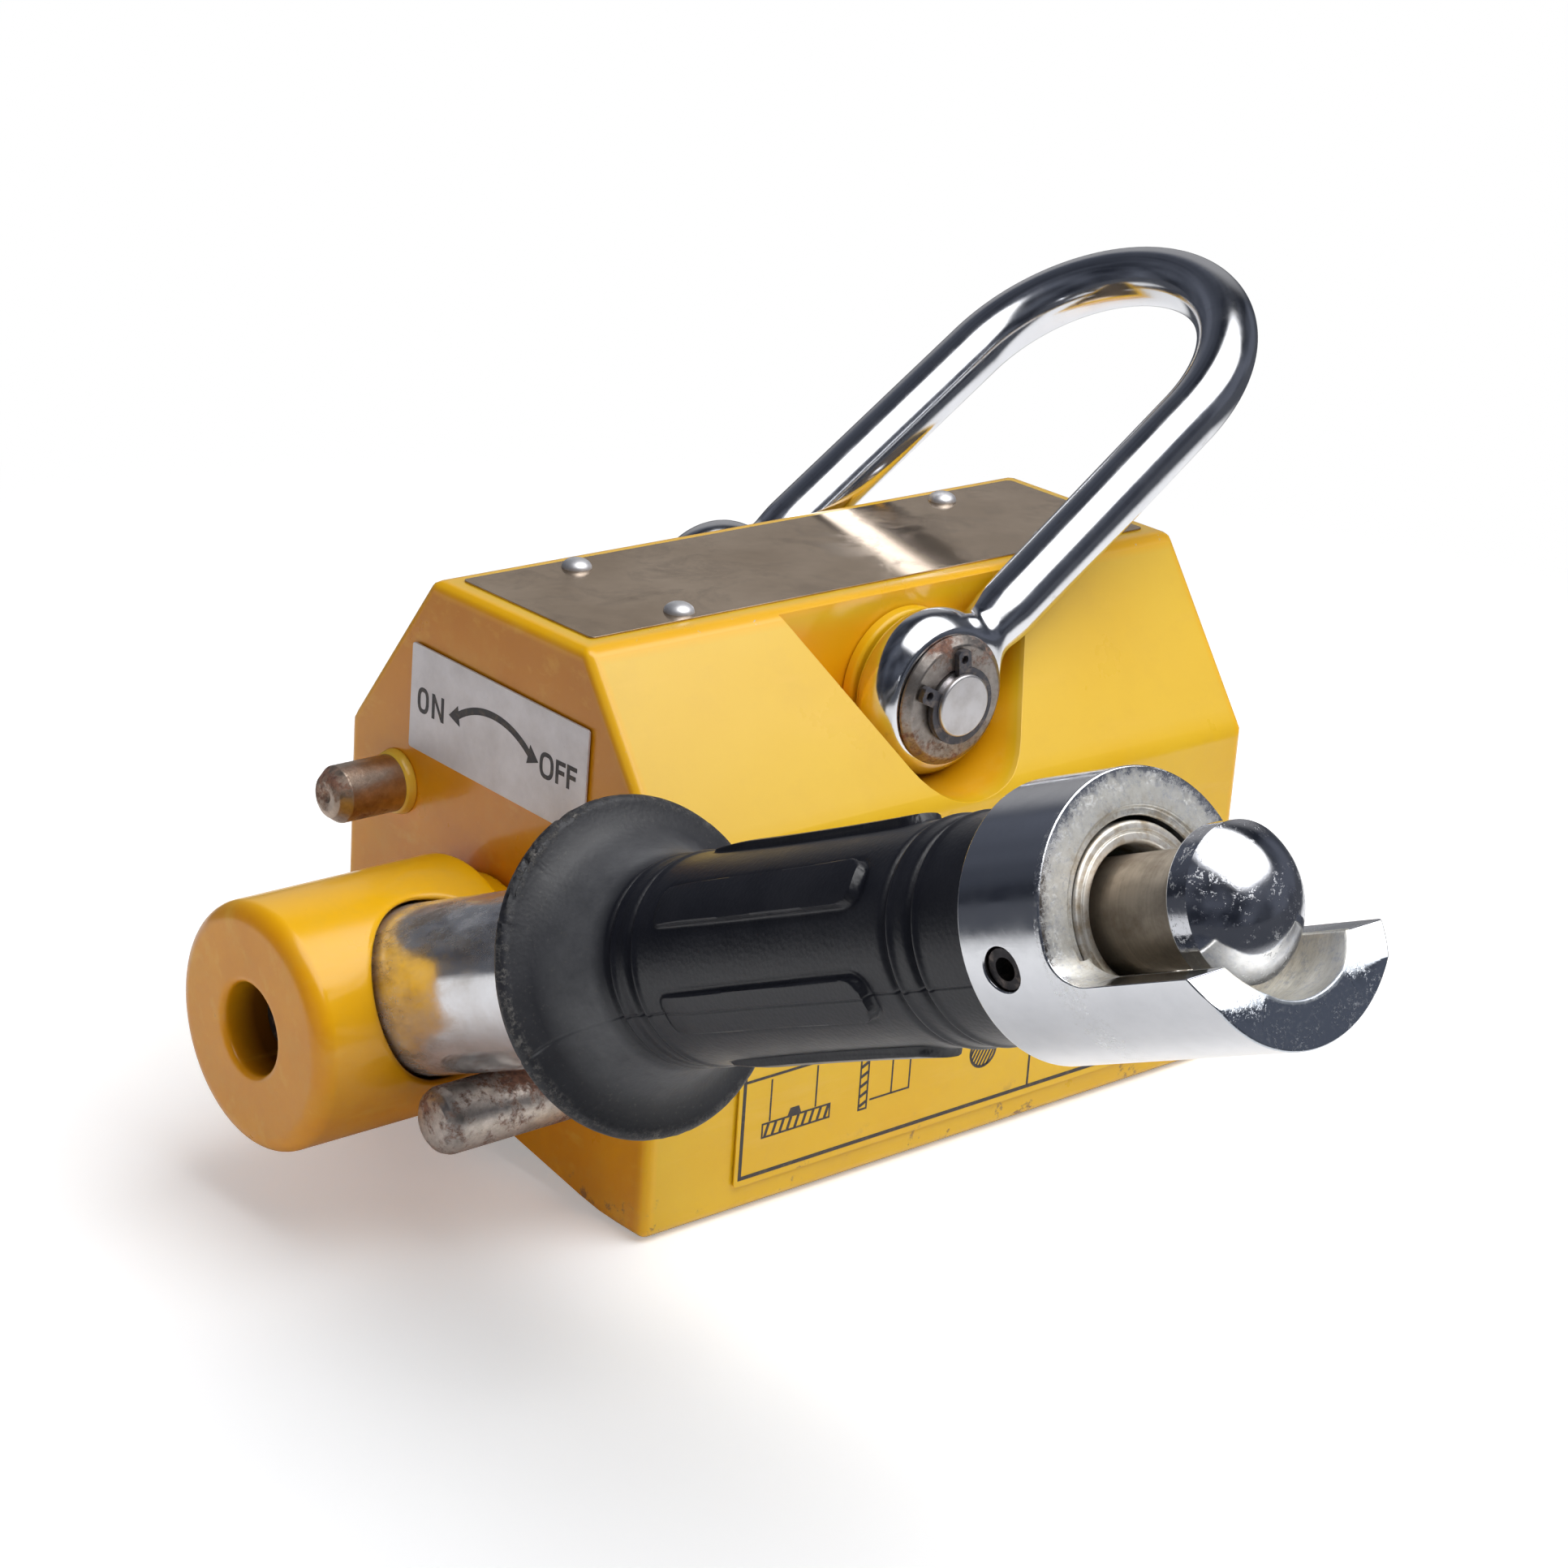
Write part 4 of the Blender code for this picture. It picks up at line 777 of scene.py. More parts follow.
def make_shackle():
    inverse = np.array(SHACKLE.inverted())

    def field(points):
        return shackle_field(points @ inverse[:3, :3].T + inverse[:3, 3])
    mesh = field_mesh("shackle_bar", welded_copy("shackle"), field, 0.5)
    finish_object("shackle_bar", mesh, "shackle_bow", CHROME, None, ("shackle",), 0, False)


def side_matrix(side):
    """The pivot's frame on one side of the block, with Z outwards."""
    return BLOCK @ Matrix.Translation((PIVOT_X, 0, PIVOT_Z)) @ Matrix.Rotation(-side * math.pi / 2, 4, "X")


def make_pivots():
    for side, name in ((-1, "right"), (1, "left")):
        matrix = side_matrix(side)
        pin = mm((0, 5.7), (4.0, 5.7), (4.0, 26.0), (3.5, 26.0), (3.5, 26.9), (4.0, 26.9), (4.0, 27.5, 0.35),
                 (0, 27.5))
        turned("pivot_pin_end_" + name, "block", PIN_STEEL, pin, matrix, ("pivot_pin_" + name,),
               64, False)
        spacer = mm((4.3, 15.55), (9.6, 15.55), (9.6, 17.0, 0.5), (4.3, 17.0))
        turned("spacer_ring_" + name, "block", PAINT, spacer, matrix, ("pivot_spacer_" + name,),
               80)
        washer = mm((4.3, 24.6), (8.4, 24.6, 0.2), (8.4, 24.95, 0.3), (7.35, 25.8, 0.6), (4.3, 25.8, 0.15))
        turned("washer_ring_" + name, "block", WASHER_STEEL, washer, matrix, ("pivot_washer_" + name,),
               80)
        make_circlip(name, matrix)


def make_circlip(name, matrix):
    """A retaining ring, widest opposite its gap, with a drilled lug at each end."""
    gap = math.radians(125)
    half_gap = math.radians(32)
    bore = 3.62
    inside, outside = [], []
    for share in np.linspace(0, 1, 49):
        angle = gap + half_gap + share * (2 * math.pi - 2 * half_gap)
        width = 1.05 + 0.55 * math.sin(math.pi * share)
        inside.append((bore * math.cos(angle), bore * math.sin(angle)))
        outside.append(((bore + width) * math.cos(angle), (bore + width) * math.sin(angle)))

    def lug(side):
        """The lug's corners beyond the ring, from its outer side to the gap."""
        turn = Matrix.Rotation(gap + side * half_gap, 2)
        corners = [(4.6, 1.5), (6.6, 1.35), (7.0, 0.9), (7.0, -0.35), (6.6, -0.8), (3.9, -0.55)]
        return [tuple(turn @ Vector((a, side * b))) for a, b in corners]
    outline = lug(1)[::-1] + outside[2:-2] + lug(-1) + inside[::-1]
    bm = bmesh.new()
    prism(bm, mm(*outline), 26.04 * MM, 26.86 * MM)
    clip = finish_object("clip_ring_" + name, mesh_from(bm, "clip_ring_" + name), "block", CLIP_STEEL, matrix,
                         ("circlip_" + name,), 0, False)
    for side in (-1, 1):
        centre = Matrix.Rotation(gap + side * half_gap, 4, "Z") @ Vector((5.85, side * 0.28, 0)) * MM
        drill = mm((0, 25), (0.55, 25), (0.55, 28), (0, 28))
        place = matrix @ Matrix.Translation(centre)
        cut(clip, cutter("drill_tool", place, lambda made: lathe(made, drill, 16, False)))
    round_edges(clip, 0.12, 2, 40)
    shade(clip, 40)


def make_front_pins():
    """The two stop pins in the block's end, and the ridge of paint round the upper one."""
    outwards = Matrix.Rotation(-math.pi / 2, 4, "Y")
    face = BLOCK_END * MM
    off = BLOCK @ Matrix.Translation((0, -20.8 * MM, 17.7 * MM)) @ outwards
    pin = mm((0, 43), (4.1, 43), (4.1, 71.3, 1.0), (3.7, 72.3, 0.8), (2.9, 72.95, 0.6), (0, 73.2))
    turned("off_pin_rod", "block", RUSTY, pin, off, ("off_stop_pin",), 72, False)
    catch = BLOCK @ Matrix.Translation((0, 20.8 * MM, 42.0 * MM)) @ outwards
    pin = mm((0, 43), (3.65, 43), (3.65, 58.5, 0.5), (2.7, 59.85, 0.4), (1.9, 60.2, 0.3), (0.8, 60.0, 0.3),
             (0, 59.4))
    turned("catch_pin_rod", "block", WORN, pin, catch, ("catch_pin",), 72, False)
    ring = [(3.66 * MM, face), (4.3 * MM, face, 0.2), (3.95 * MM, face + 1.1 * MM, 0.3),
            (3.66 * MM, face + 1.3 * MM)]
    turned("catch_pin_paint", "block", PAINT, ring, catch, (), 64)


# ---------------------------------------------------------------- plates

def flat_plate(name, material, outline, low, high, axis, replaces, edge=0.12):
    bm = bmesh.new()
    prism(bm, outline, low, high, axis)
    mesh = mesh_from(bm, name)
    obj = finish_object(name, mesh, "block", material, BLOCK, replaces, 0, False)
    round_edges(obj, edge, 2, 40)
    shade(obj, 50)


def rectangle(x0, y0, x1, y1, radius=0.0):
    corners = mm((x0, y0, radius), (x1, y0, radius), (x1, y1, radius), (x0, y1, radius))
    return fillet(corners, 4, True)


def make_nameplate():
    flat_plate("name_plate", PLATE, rectangle(-46.4, -12.7, 46.4, 12.9, 0.8), 69.98 * MM, 70.24 * MM, "z",
               ("nameplate",), 0.06)
    number = 0
    for x in (-31, 31):
        for y in (-10, 10):
            number += 1
            place = BLOCK @ Matrix.Translation((x * MM, y * MM, 0))
            dome = mm((0, 67), (1, 67), (1, 70.2), (1.9, 70.2))
            dome += [(1.9 * MM * math.cos(a), (70.3 + 1.15 * math.sin(a)) * MM)
                     for a in np.linspace(0, math.pi / 2, 9)[:-1]]
            dome += mm((0, 71.45))
            turned("rivet_head_%d" % number, "block", RIVET, dome, place,
                   ("nameplate_rivet_%d" % find_rivet(x * MM, y * MM),), 40, False)


def find_rivet(x, y):
    """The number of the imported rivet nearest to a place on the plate."""
    target = BLOCK @ Vector((x, y, 0))

    def away(number):
        low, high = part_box("nameplate_rivet_%d" % number)
        return ((low + high) / 2 - target).to_2d().length
    return min(range(1, 5), key=away)


class Drawing:
    """Thin raised print made of strokes and filled shapes on a flat face."""

    def __init__(self, place, thickness=0.03 * MM):
        self.bm = bmesh.new()
        self.place = place
        self.thickness = thickness

    def shape(self, outline, rise=1.0):
        low = [self.bm.verts.new(self.place(a * MM, b * MM, 0)) for a, b in outline]
        high = [self.bm.verts.new(self.place(a * MM, b * MM, self.thickness * rise)) for a, b in outline]
        self.bm.faces.new(low)
        self.bm.faces.new(high)
        for k in range(len(outline)):
            n = (k + 1) % len(outline)
            self.bm.faces.new((low[k], low[n], high[n], high[k]))

    def line(self, a, b, width):
        a, b = Vector(a), Vector(b)
        along = (b - a).normalized()
        side = Vector((-along.y, along.x)) * width / 2
        self.shape([tuple(a + side), tuple(b + side), tuple(b - side), tuple(a - side)])

    def path(self, points, width, closed=False):
        """A stroke with mitred corners."""
        points = [Vector(p) for p in points]
        count = len(points)
        left, right = [], []
        for k, point in enumerate(points):
            before = points[k - 1] if (k or closed) else None
            after = points[(k + 1) % count] if (k < count - 1 or closed) else None
            along = []
            if before is not None:
                along.append((point - before).normalized())
            if after is not None:
                along.append((after - point).normalized())
            mean = sum(along, Vector((0, 0))).normalized()
            side = Vector((-mean.y, mean.x))
            stretch = width / 2 / max(side.dot(Vector((-along[0].y, along[0].x))), 0.3)
            left.append(point + side * stretch)
            right.append(point - side * stretch)
        if not closed:
            self.shape([tuple(point) for point in left + right[::-1]])
            return
        rims = [[self.bm.verts.new(self.place(point.x * MM, point.y * MM, height)) for point in side]
                for height in (0, self.thickness) for side in (left, right)]
        for one, other in ((0, 1), (2, 3), (0, 2), (1, 3)):
            for k in range(count):
                n = (k + 1) % count
                self.bm.faces.new((rims[one][k], rims[one][n], rims[other][n], rims[other][k]))

    def frame(self, x, z, width, height, stroke):
        """A closed rectangular stroke with its low corner at x and z."""
        self.path([(x, z), (x + width, z), (x + width, z + height), (x, z + height)], stroke, True)

    def finish(self, name, material, slot):
        mesh = mesh_from(self.bm, name)
        return finish_object(name, mesh, "block", material, BLOCK, (), 0, False)


STICKER_TILT = math.radians(1.1)


def make_sticker():
    outer = -BLOCK_END - 0.55
    corners = [Vector((y, z)) for y, z in ((-17.6, -6.85), (17.6, -6.85), (17.6, 6.85), (-17.6, 6.85))]
    centre = Vector((0.4, 54.2))
    turned_corners = [centre + Matrix.Rotation(STICKER_TILT, 2) @ corner for corner in corners]
    outline = fillet([(c.x * MM, c.y * MM, 0.4) for c in turned_corners], 3, True)
    flat_plate("sticker_foil", FOIL, outline, (outer + 0.3) * MM, outer * MM, "x", ("on_off_sticker",),
               0.05)

    def place(a, b, height):
        return Vector((outer * MM - height, a, b))
    drawing = Drawing(place)
    letters(drawing)
    arrow(drawing)
    drawing.finish("sticker_print", INK, "sticker")


def letters(drawing):
    """ON at the end towards +Y and OFF at the other. The print is read from the hub's side."""
    stroke = 0.56

    def letter_o(y, z, width, height):
        """An upright oval with straight sides."""
        a, b = (width - stroke) / 2, (height - stroke) / 2
        ring = [(y + a * math.copysign(abs(math.cos(t)) ** 0.75, math.cos(t)),
                 z + b + stroke / 2 + b * math.copysign(abs(math.sin(t)) ** 0.75, math.sin(t)))
                for t in around(32)]
        drawing.path(ring, stroke, True)

    def letter_n(y, z, width, height):
        side = (width - stroke) / 2
        drawing.line((y + side, z), (y + side, z + height), stroke)
        drawing.line((y - side, z), (y - side, z + height), stroke)
        drawing.shape([(y + side + stroke / 2, z + height), (y + side - stroke * 0.45, z + height),
                       (y - side - stroke / 2, z), (y - side + stroke * 0.45, z)], 1.02)

    def letter_f(y, z, width, height):
        side = width / 2
        drawing.line((y + side - stroke / 2, z), (y + side - stroke / 2, z + height), stroke)
        drawing.line((y + side - stroke, z + height - stroke / 2), (y - side, z + height - stroke / 2), stroke)
        drawing.line((y + side - stroke, z + height * 0.52), (y - side * 0.8, z + height * 0.52), stroke)
    letter_o(15.3, 52.75, 2.3, 3.35)
    letter_n(12.25, 52.75, 2.45, 3.2)
    letter_o(-9.65, 52.2, 2.7, 3.35)
    letter_f(-12.35, 52.35, 1.85, 3.0)
    letter_f(-14.5, 52.4, 1.9, 3.0)


def arrow(drawing):
    centre = Vector((1.2, 44.65))
    radius = 12.2
    start, end = math.radians(54.5), math.radians(128.5)
    points = [centre + radius * Vector((math.cos(a), math.sin(a))) for a in np.linspace(start, end, 26)]
    drawing.path(points, 0.92)
    for tip, back, spin in ((points[0], points[3], 0.35), (points[-1], points[-4], -0.35)):
        along = Matrix.Rotation(spin, 2) @ (tip - back).normalized()
        side = Vector((-along.y, along.x))
        drawing.shape([tuple(tip + along * 1.7), tuple(tip - along * 0.35 + side * 1.3),
                       tuple(tip - along * 0.35 - side * 1.3)], 1.04)


def make_label():
    outer = -BLOCK_SIDE - 0.5
    film = rectangle(-35.6, 3.6, 41.0, 39.4, 0.6)
    flat_plate("label_film", PAINT, film, (outer + 0.25) * MM, outer * MM, "y", ("side_label",), 0.05)

    def place(a, b, height):
        return Vector((a, outer * MM - height, b))
    drawing = Drawing(place)
    line = 0.5
    drawing.path([(-34.8, 4.7), (40.2, 4.7), (40.2, 38.3), (-34.8, 38.3)], line, True)
    for x in (14.0, 27.0):
        drawing.line((x, 4.9), (x, 38.1), 0.35)
    for z in (17.5, 24.5, 31.5):
        drawing.line((-34.6, z), (40.0, z), 0.35)
    hatched_plate(drawing, -31.6, 9.4, 10.9, 1.8)
    for x in (-30.5, -23.1):
        drawing.path([(x, 11.4), (x, 17.0)], 0.25)
    drawing.shape([(-27.6, 11.3), (-25.4, 11.3), (-25.8, 12.3), (-27.2, 12.3)])
    upright_plate(drawing, -15.8, 9.0, 1.3, 8.0)
    drawing.path([(-14.0, 10.0), (-7.4, 10.0), (-7.4, 17.0)], 0.25)
    drawing.path([(-10.4, 10.0), (-10.4, 17.0)], 0.25)
    for x in (5.4, 20.5):
        hatched_circle(drawing, x, 11.9, 2.2)
    hatched_plate(drawing, 30.0, 9.4, 7.0, 1.8)
    drawing.finish("label_print", INK, "label")


def hatched_plate(drawing, x, z, length, height):
    """A plate lying flat, hatched upwards."""
    drawing.frame(x, z, length, height, 0.25)
    count = int(length / 1.15)
    for k in range(count):
        a = x + (k + 0.35) * length / count
        drawing.line((a, z + 0.1), (a + 0.55, z + height - 0.1), 0.42)


def upright_plate(drawing, x, z, width, height):
    """A plate standing on its end, hatched across."""
    drawing.frame(x, z, width, height, 0.25)
    count = int(height / 1.15)
    for k in range(count):
        b = z + (k + 0.35) * height / count
        drawing.line((x + 0.1, b), (x + width - 0.1, b + 0.5), 0.42)


def hatched_circle(drawing, x, z, radius):
    ring = [(x + radius * math.cos(a), z + radius * math.sin(a)) for a in around(32)]
    drawing.path(ring, 0.38, True)
    for k in range(-3, 4):
        offset = k * 0.55
        half = math.sqrt(max(radius ** 2 - offset ** 2, 0)) * 0.95
        along = Vector((math.cos(1.05), math.sin(1.05)))
        side = Vector((-along.y, along.x)) * offset
        centre = Vector((x, z)) + side
        drawing.line(tuple(centre - along * half), tuple(centre + along * half), 0.3)


# ---------------------------------------------------------------- lever

def hub_field(points):
    """The hub in the lever's frame: a rounded drum along X, with a socket for the tube and a bore."""
    x, y, z = points[:, 0], points[:, 1], points[:, 2]
    r = np.sqrt(y ** 2 + z ** 2)
    low, high = -19.3 * MM, 11.2 * MM
    corner, drum_radius = 2.4 * MM, 15.2 * MM
    dx = np.maximum(low + corner - x, 0)
    dr = np.maximum(r - (drum_radius - corner), 0)
    rounded = np.sqrt(dx ** 2 + dr ** 2) - corner
    inner = np.maximum(low - x, r - drum_radius)
    drum = np.where((dx > 0) & (dr > 0), rounded, inner)
    drum = smooth_max(drum, x - high, 0.9 * MM)
    neck = smooth_max(r - 12.0 * MM, x - 15.75 * MM, 0.4 * MM)
    solid = np.minimum(drum, np.maximum(neck, 5 * MM - x))
    socket = np.sqrt(x ** 2 + y ** 2) - 10.65 * MM
    socket = np.maximum(socket, -8.4 * MM - z)
    solid = smooth_max(solid, -socket, 1.1 * MM)
    bore = np.maximum(r - 5.6 * MM, x + 11.0 * MM)
    small = np.maximum(r - 3.4 * MM, x - 11.5 * MM)
    shaft = np.maximum(r - 6.3 * MM, 11.5 * MM - x)
    solid = smooth_max(solid, -bore, 1.0 * MM)
    solid = smooth_max(solid, -small, 0.3 * MM)
    return smooth_max(solid, -shaft, 0.3 * MM)


def make_hub():
    base = welded_copy("hub")
    base.transform(LEVER.inverted())
    mesh = field_mesh("hub_drum", base, hub_field, 0.45)
    finish_object("hub_drum", mesh, "lever", HUB_PAINT, LEVER, ("hub",), 0, False)


def make_hub_bolt():
    """The socket screw deep in the hub's bore, which clamps the tube."""
    along = LEVER @ Matrix.Rotation(math.pi / 2, 4, "Y")
    head = mm((0, -14.2), (3.7, -14.2, 0.4), (4.2, -13.6, 0.3), (4.2, -11.2), (2.9, -11.2), (2.9, 9.5),
              (0, 9.5))
    obj = turned("hub_screw", "lever", DARK, head, along, ("hub_bolt",), 48, False)
    obj.modifiers.clear()
    key = [(2.3 * MM * math.cos(a), 2.3 * MM * math.sin(a)) for a in around(6)]
    cut(obj, cutter("key_tool", along, lambda bm: prism(bm, key, -20 * MM, -12.4 * MM)))
    shade(obj, 30, False)


def make_tube():
    outline = mm((6.6, -8.0), (10.3, -8.0, 0.5), (10.3, 50.4, 0.3), (8.75, 50.4), (8.75, 131.0, 0.5),
                 (7.95, 131.0, 0.12), (7.75, 130.6, 0.1), (7.55, 130.9, 0.12), (6.6, 130.9, 0.6), (6.6, 60.0),
                 (3.9, 60.0), (3.9, 46.0), (6.6, 46.0))
    obj = turned("lever_pipe", "lever", TUBE_CHROME, outline, LEVER, ("lever_tube",), 96)
    obj.modifiers.clear()
    reach = math.hypot(20.8, 17.5) * MM
    half = 4.05 * MM
    bottom = math.pi / 2 + half / reach
    angles = np.linspace(math.radians(58), bottom, 24)
    slot = [((reach + half) * math.cos(a), (reach + half) * math.sin(a)) for a in angles]
    slot += [((reach - half) * math.cos(a), (reach - half) * math.sin(a)) for a in angles[::-1]]
    cut(obj, cutter("slot_tool", LEVER, lambda bm: prism(bm, slot, 4.7 * MM, 15 * MM, "x")))
    hole = mm((0, -15), (3.4, -15), (3.4, 15), (0, 15))
    turn = LEVER @ Matrix.Rotation(math.pi / 2, 4, "Y")
    cut(obj, cutter("bolt_tool", turn, lambda bm: lathe(bm, hole, 32, False)))
    shade(obj, 30)


GRIP_START = 50.9
GRIP_END = 120.0
GRIP_RADIUS = 11.4
GROOVES = (61.6, 65.3, 106.7, 110.5)
PAD_MIDDLE = 85.7
PAD_HALF = 16.6
PAD_FIRST = math.radians(21)
SEAM_ANGLE = math.radians(-160.5)


def grip_outline():
    """(radius, z) in millimetres along the grip's outside, from the guard's back face to the front end."""
    points = [(9.05, GRIP_START), (14.0, GRIP_START), (17.2, GRIP_START - 0.05)]
    for a in np.linspace(-90, 95, 12):
        points.append((18.0 + 1.0 * math.cos(math.radians(a)),
                       GRIP_START + 1.0 + 1.0 * math.sin(math.radians(a))))
    flare = [(17.2, 2.15), (16.3, 2.35), (15.4, 2.75), (14.6, 3.35), (13.9, 4.15), (13.3, 5.1), (12.8, 6.2),
             (12.35, 7.4), (11.95, 8.5), (11.65, 9.4)]
    points += [(r, GRIP_START + z) for r, z in flare]
    z = GRIP_START + 9.7
    while z < GRIP_END - 0.7:
        points.append((None, z))
        z += 0.18 if min(abs(z - groove - 0.4) for groove in GROOVES) < 1.3 else 0.3
    for a in np.linspace(0, 90, 5):
        points.append((GRIP_RADIUS - 0.6 + 0.6 * math.cos(math.radians(a)),
                       GRIP_END - 0.6 + 0.6 * math.sin(math.radians(a))))
    points.append((9.05, GRIP_END))
    return points


def soft_step(value, low, high):
    t = np.clip((value - low) / (high - low), 0, 1)
    return t * t * (3 - 2 * t)


def from_seam(angles):
    """Signed angles from the mould line."""
    return (angles - SEAM_ANGLE + math.pi) % (2 * math.pi) - math.pi


def grip_radius(z, angles):
    """The barrel's radius at height z for each angle, with its rings, pads and mould line."""
    waist = 0.25 * math.sin(math.pi * min(max((z - 66) / 42, 0), 1))
    radius = np.full(len(angles), GRIP_RADIUS - waist)
    for groove in GROOVES:
        across = z - groove
        dip = math.exp(-(across / 0.42) ** 2) if across < 0 else max(0.0, 1 - across / 0.62)
        crest = math.exp(-((across - 0.92) / 0.36) ** 2)
        radius += 0.26 * crest - 0.55 * dip
    for index in range(6):
        offset = (angles - PAD_FIRST - index * math.pi / 3 + math.pi) % (2 * math.pi) - math.pi
        across = np.abs(offset) * GRIP_RADIUS
        middle = (z - PAD_MIDDLE) / PAD_HALF
        half = 2.5 + 0.12 * middle
        corner = 2.1 if middle > 0 else 1.3
        qx = max(abs(z - PAD_MIDDLE) - (PAD_HALF - corner), 0)
        qy = np.maximum(across - (half - corner), 0)
        inside = np.where((qx > 0) & (qy > 0), np.hypot(qx, qy) - corner,
                          np.maximum(abs(z - PAD_MIDDLE) - PAD_HALF, across - half))
        height = 0.80 * soft_step(middle, -1.3, -0.6) + 0.08 * middle
        plateau = 1 - soft_step(inside, -0.24, 0.04)
        moat = np.exp(-((inside - 0.3) / 0.3) ** 2)
        radius += height * plateau - 0.10 * moat
    radius -= 0.12 * np.exp(-(from_seam(angles) * GRIP_RADIUS / 0.12) ** 2)
    return radius


def grip_angles():
    """Angles round the grip, closer together near the pads' sides and at the mould line."""
    base = list(around(240))
    for index in range(6):
        centre = PAD_FIRST + index * math.pi / 3
        for side in (-1, 1):
            for offset in np.linspace(-0.5, 0.5, 11):
                base.append((centre + side * (2.45 + offset) / GRIP_RADIUS) % (2 * math.pi))
    for offset in np.linspace(-0.3, 0.3, 9):
        base.append((SEAM_ANGLE + offset / GRIP_RADIUS) % (2 * math.pi))
    base = sorted(base)
    kept = [base[0]]
    for angle in base[1:]:
        if angle - kept[-1] > 0.0035:
            kept.append(angle)
    return np.array(kept)


def make_grip():
    angles = grip_angles()
    bm = bmesh.new()
    rings = []
    rng = np.random.default_rng(4)
    chew = rng.normal(0, 1, (3, len(angles)))
    looped = [np.concatenate([row[-3:], row, row[:3]]) for row in chew]
    chew = np.array([np.convolve(row, np.full(7, 0.4), "valid") for row in looped])
    worn = np.exp(-((angles - math.radians(128)) / 0.75) ** 2) + 0.25
    for r, z in grip_outline():
        radius = grip_radius(z, angles) if r is None else np.full(len(angles), r)
        if r is not None and r > 17.1 and z > GRIP_START + 0.2:
            row = chew[int((z - GRIP_START) * 4) % 3]
            radius = radius - 0.20 * np.clip(row, 0, 1.6) * worn
        seam = from_seam(angles)
        drop = 0.14 * np.exp(-(seam * 15 / 0.16) ** 2) if r is not None and z > GRIP_START + 1.5 else 0 * seam
        ring = [bm.verts.new((q * MM * math.cos(a), q * MM * math.sin(a), (z - d) * MM))
                for q, a, d in zip(radius, angles, drop)]
        rings.append(ring)
    count = len(angles)
    for low, high in list(zip(rings, rings[1:])) + [(rings[-1], rings[0])]:
        for k in range(count):
            n = (k + 1) % count
            bm.faces.new((low[k], low[n], high[n], high[k]))
    mesh = mesh_from(bm, "grip_sleeve")
    finish_object("grip_sleeve", mesh, "lever", RUBBER, LEVER, ("grip",), 60, False)


SET_SCREW_Z = 125.2
SET_SCREW_ANGLE = math.radians(189.0)


def make_collar():
    """A ring whose front half is cut down to a half shell that shields the knob from below."""
    bore, outside, back, front = 9.17, 13.83, 120.4, 149.6
    ring = mm((bore, back), (outside, back), (outside, front), (bore, front))
    bm = bmesh.new()
    lathe(bm, ring, 160)
    obj = finish_object("collar_shell", mesh_from(bm, "collar_shell"), "lever", COLLAR_CHROME, LEVER,
                        ("end_collar",), 0, False)
    top, face, radius = -4.5, 131.6, 3.6
    opening = [(20, face)]
    opening += [(top + radius - radius * math.sin(a), face + radius - radius * math.cos(a))
                for a in np.linspace(0, math.pi / 2, 13)]
    opening += [(top, 148.1), (top - 3.5, 149.7), (top - 3.5, 160), (20, 160)]
    cut(obj, cutter("opening_tool", LEVER, lambda made: prism(made, mm(*opening), -20 * MM, 20 * MM, "x")))
    step = [(0, face - 0.4), (9.9, face - 0.4), (10.2, face + 0.35), (0, face + 0.35)]
    cut(obj, cutter("step_tool", LEVER, lambda made: lathe(made, mm(*step), 160, False)))
    hole = mm((0, 8), (2.25, 8), (2.25, 16), (0, 16))
    turn = LEVER @ Matrix.Translation((0, 0, SET_SCREW_Z * MM)) @ Matrix.Rotation(SET_SCREW_ANGLE, 4, "Z") \
        @ Matrix.Rotation(math.pi / 2, 4, "Y")
    cut(obj, cutter("screw_tool", turn, lambda made: lathe(made, hole, 40, False)))
    round_edges(obj, 0.22, 3, 32, False)
    weld(obj.data, 2e-6)
    obj.data.materials.clear()
    obj.data.materials.append(COLLAR_CHROME)
    shade(obj, 35)


# ---------------------------------------------------------------- rod, knob and the rest

def make_knob():
    base, rise, top = 7.55, 4.0, 148.2
    dome_radius = (base * base + rise * rise) / (2 * rise)
    spread = math.asin(base / dome_radius)
    outline = mm((0, 145.2), (3.3, 145.2), (3.3, 141.5), (base, 141.5, 0.35), (base, 144.2))
    outline = fillet(outline, 4)
    outline += [(dome_radius * math.sin(a) * MM, (top - dome_radius * (1 - math.cos(a))) * MM)
                for a in np.linspace(spread, 0, 20)[1:-1]]
    outline += mm((0, top))
    turned("knob_cap", "safety_knob", KNOB_CHROME, outline, LEVER, ("knob",), 96, False)
    rod = mm((0, 36.0), (4.9, 36.0, 0.5), (4.9, 45.7, 0.2), (3.4, 45.7), (3.4, 107.5), (5.6, 107.5, 0.3),
             (5.6, 141.2, 0.2), (3.0, 141.2), (3.0, 144.9), (0, 144.9))
    turned("rod_shaft", "safety_knob", NECK_STEEL, rod, LEVER, ("lock_rod",), 72, False)


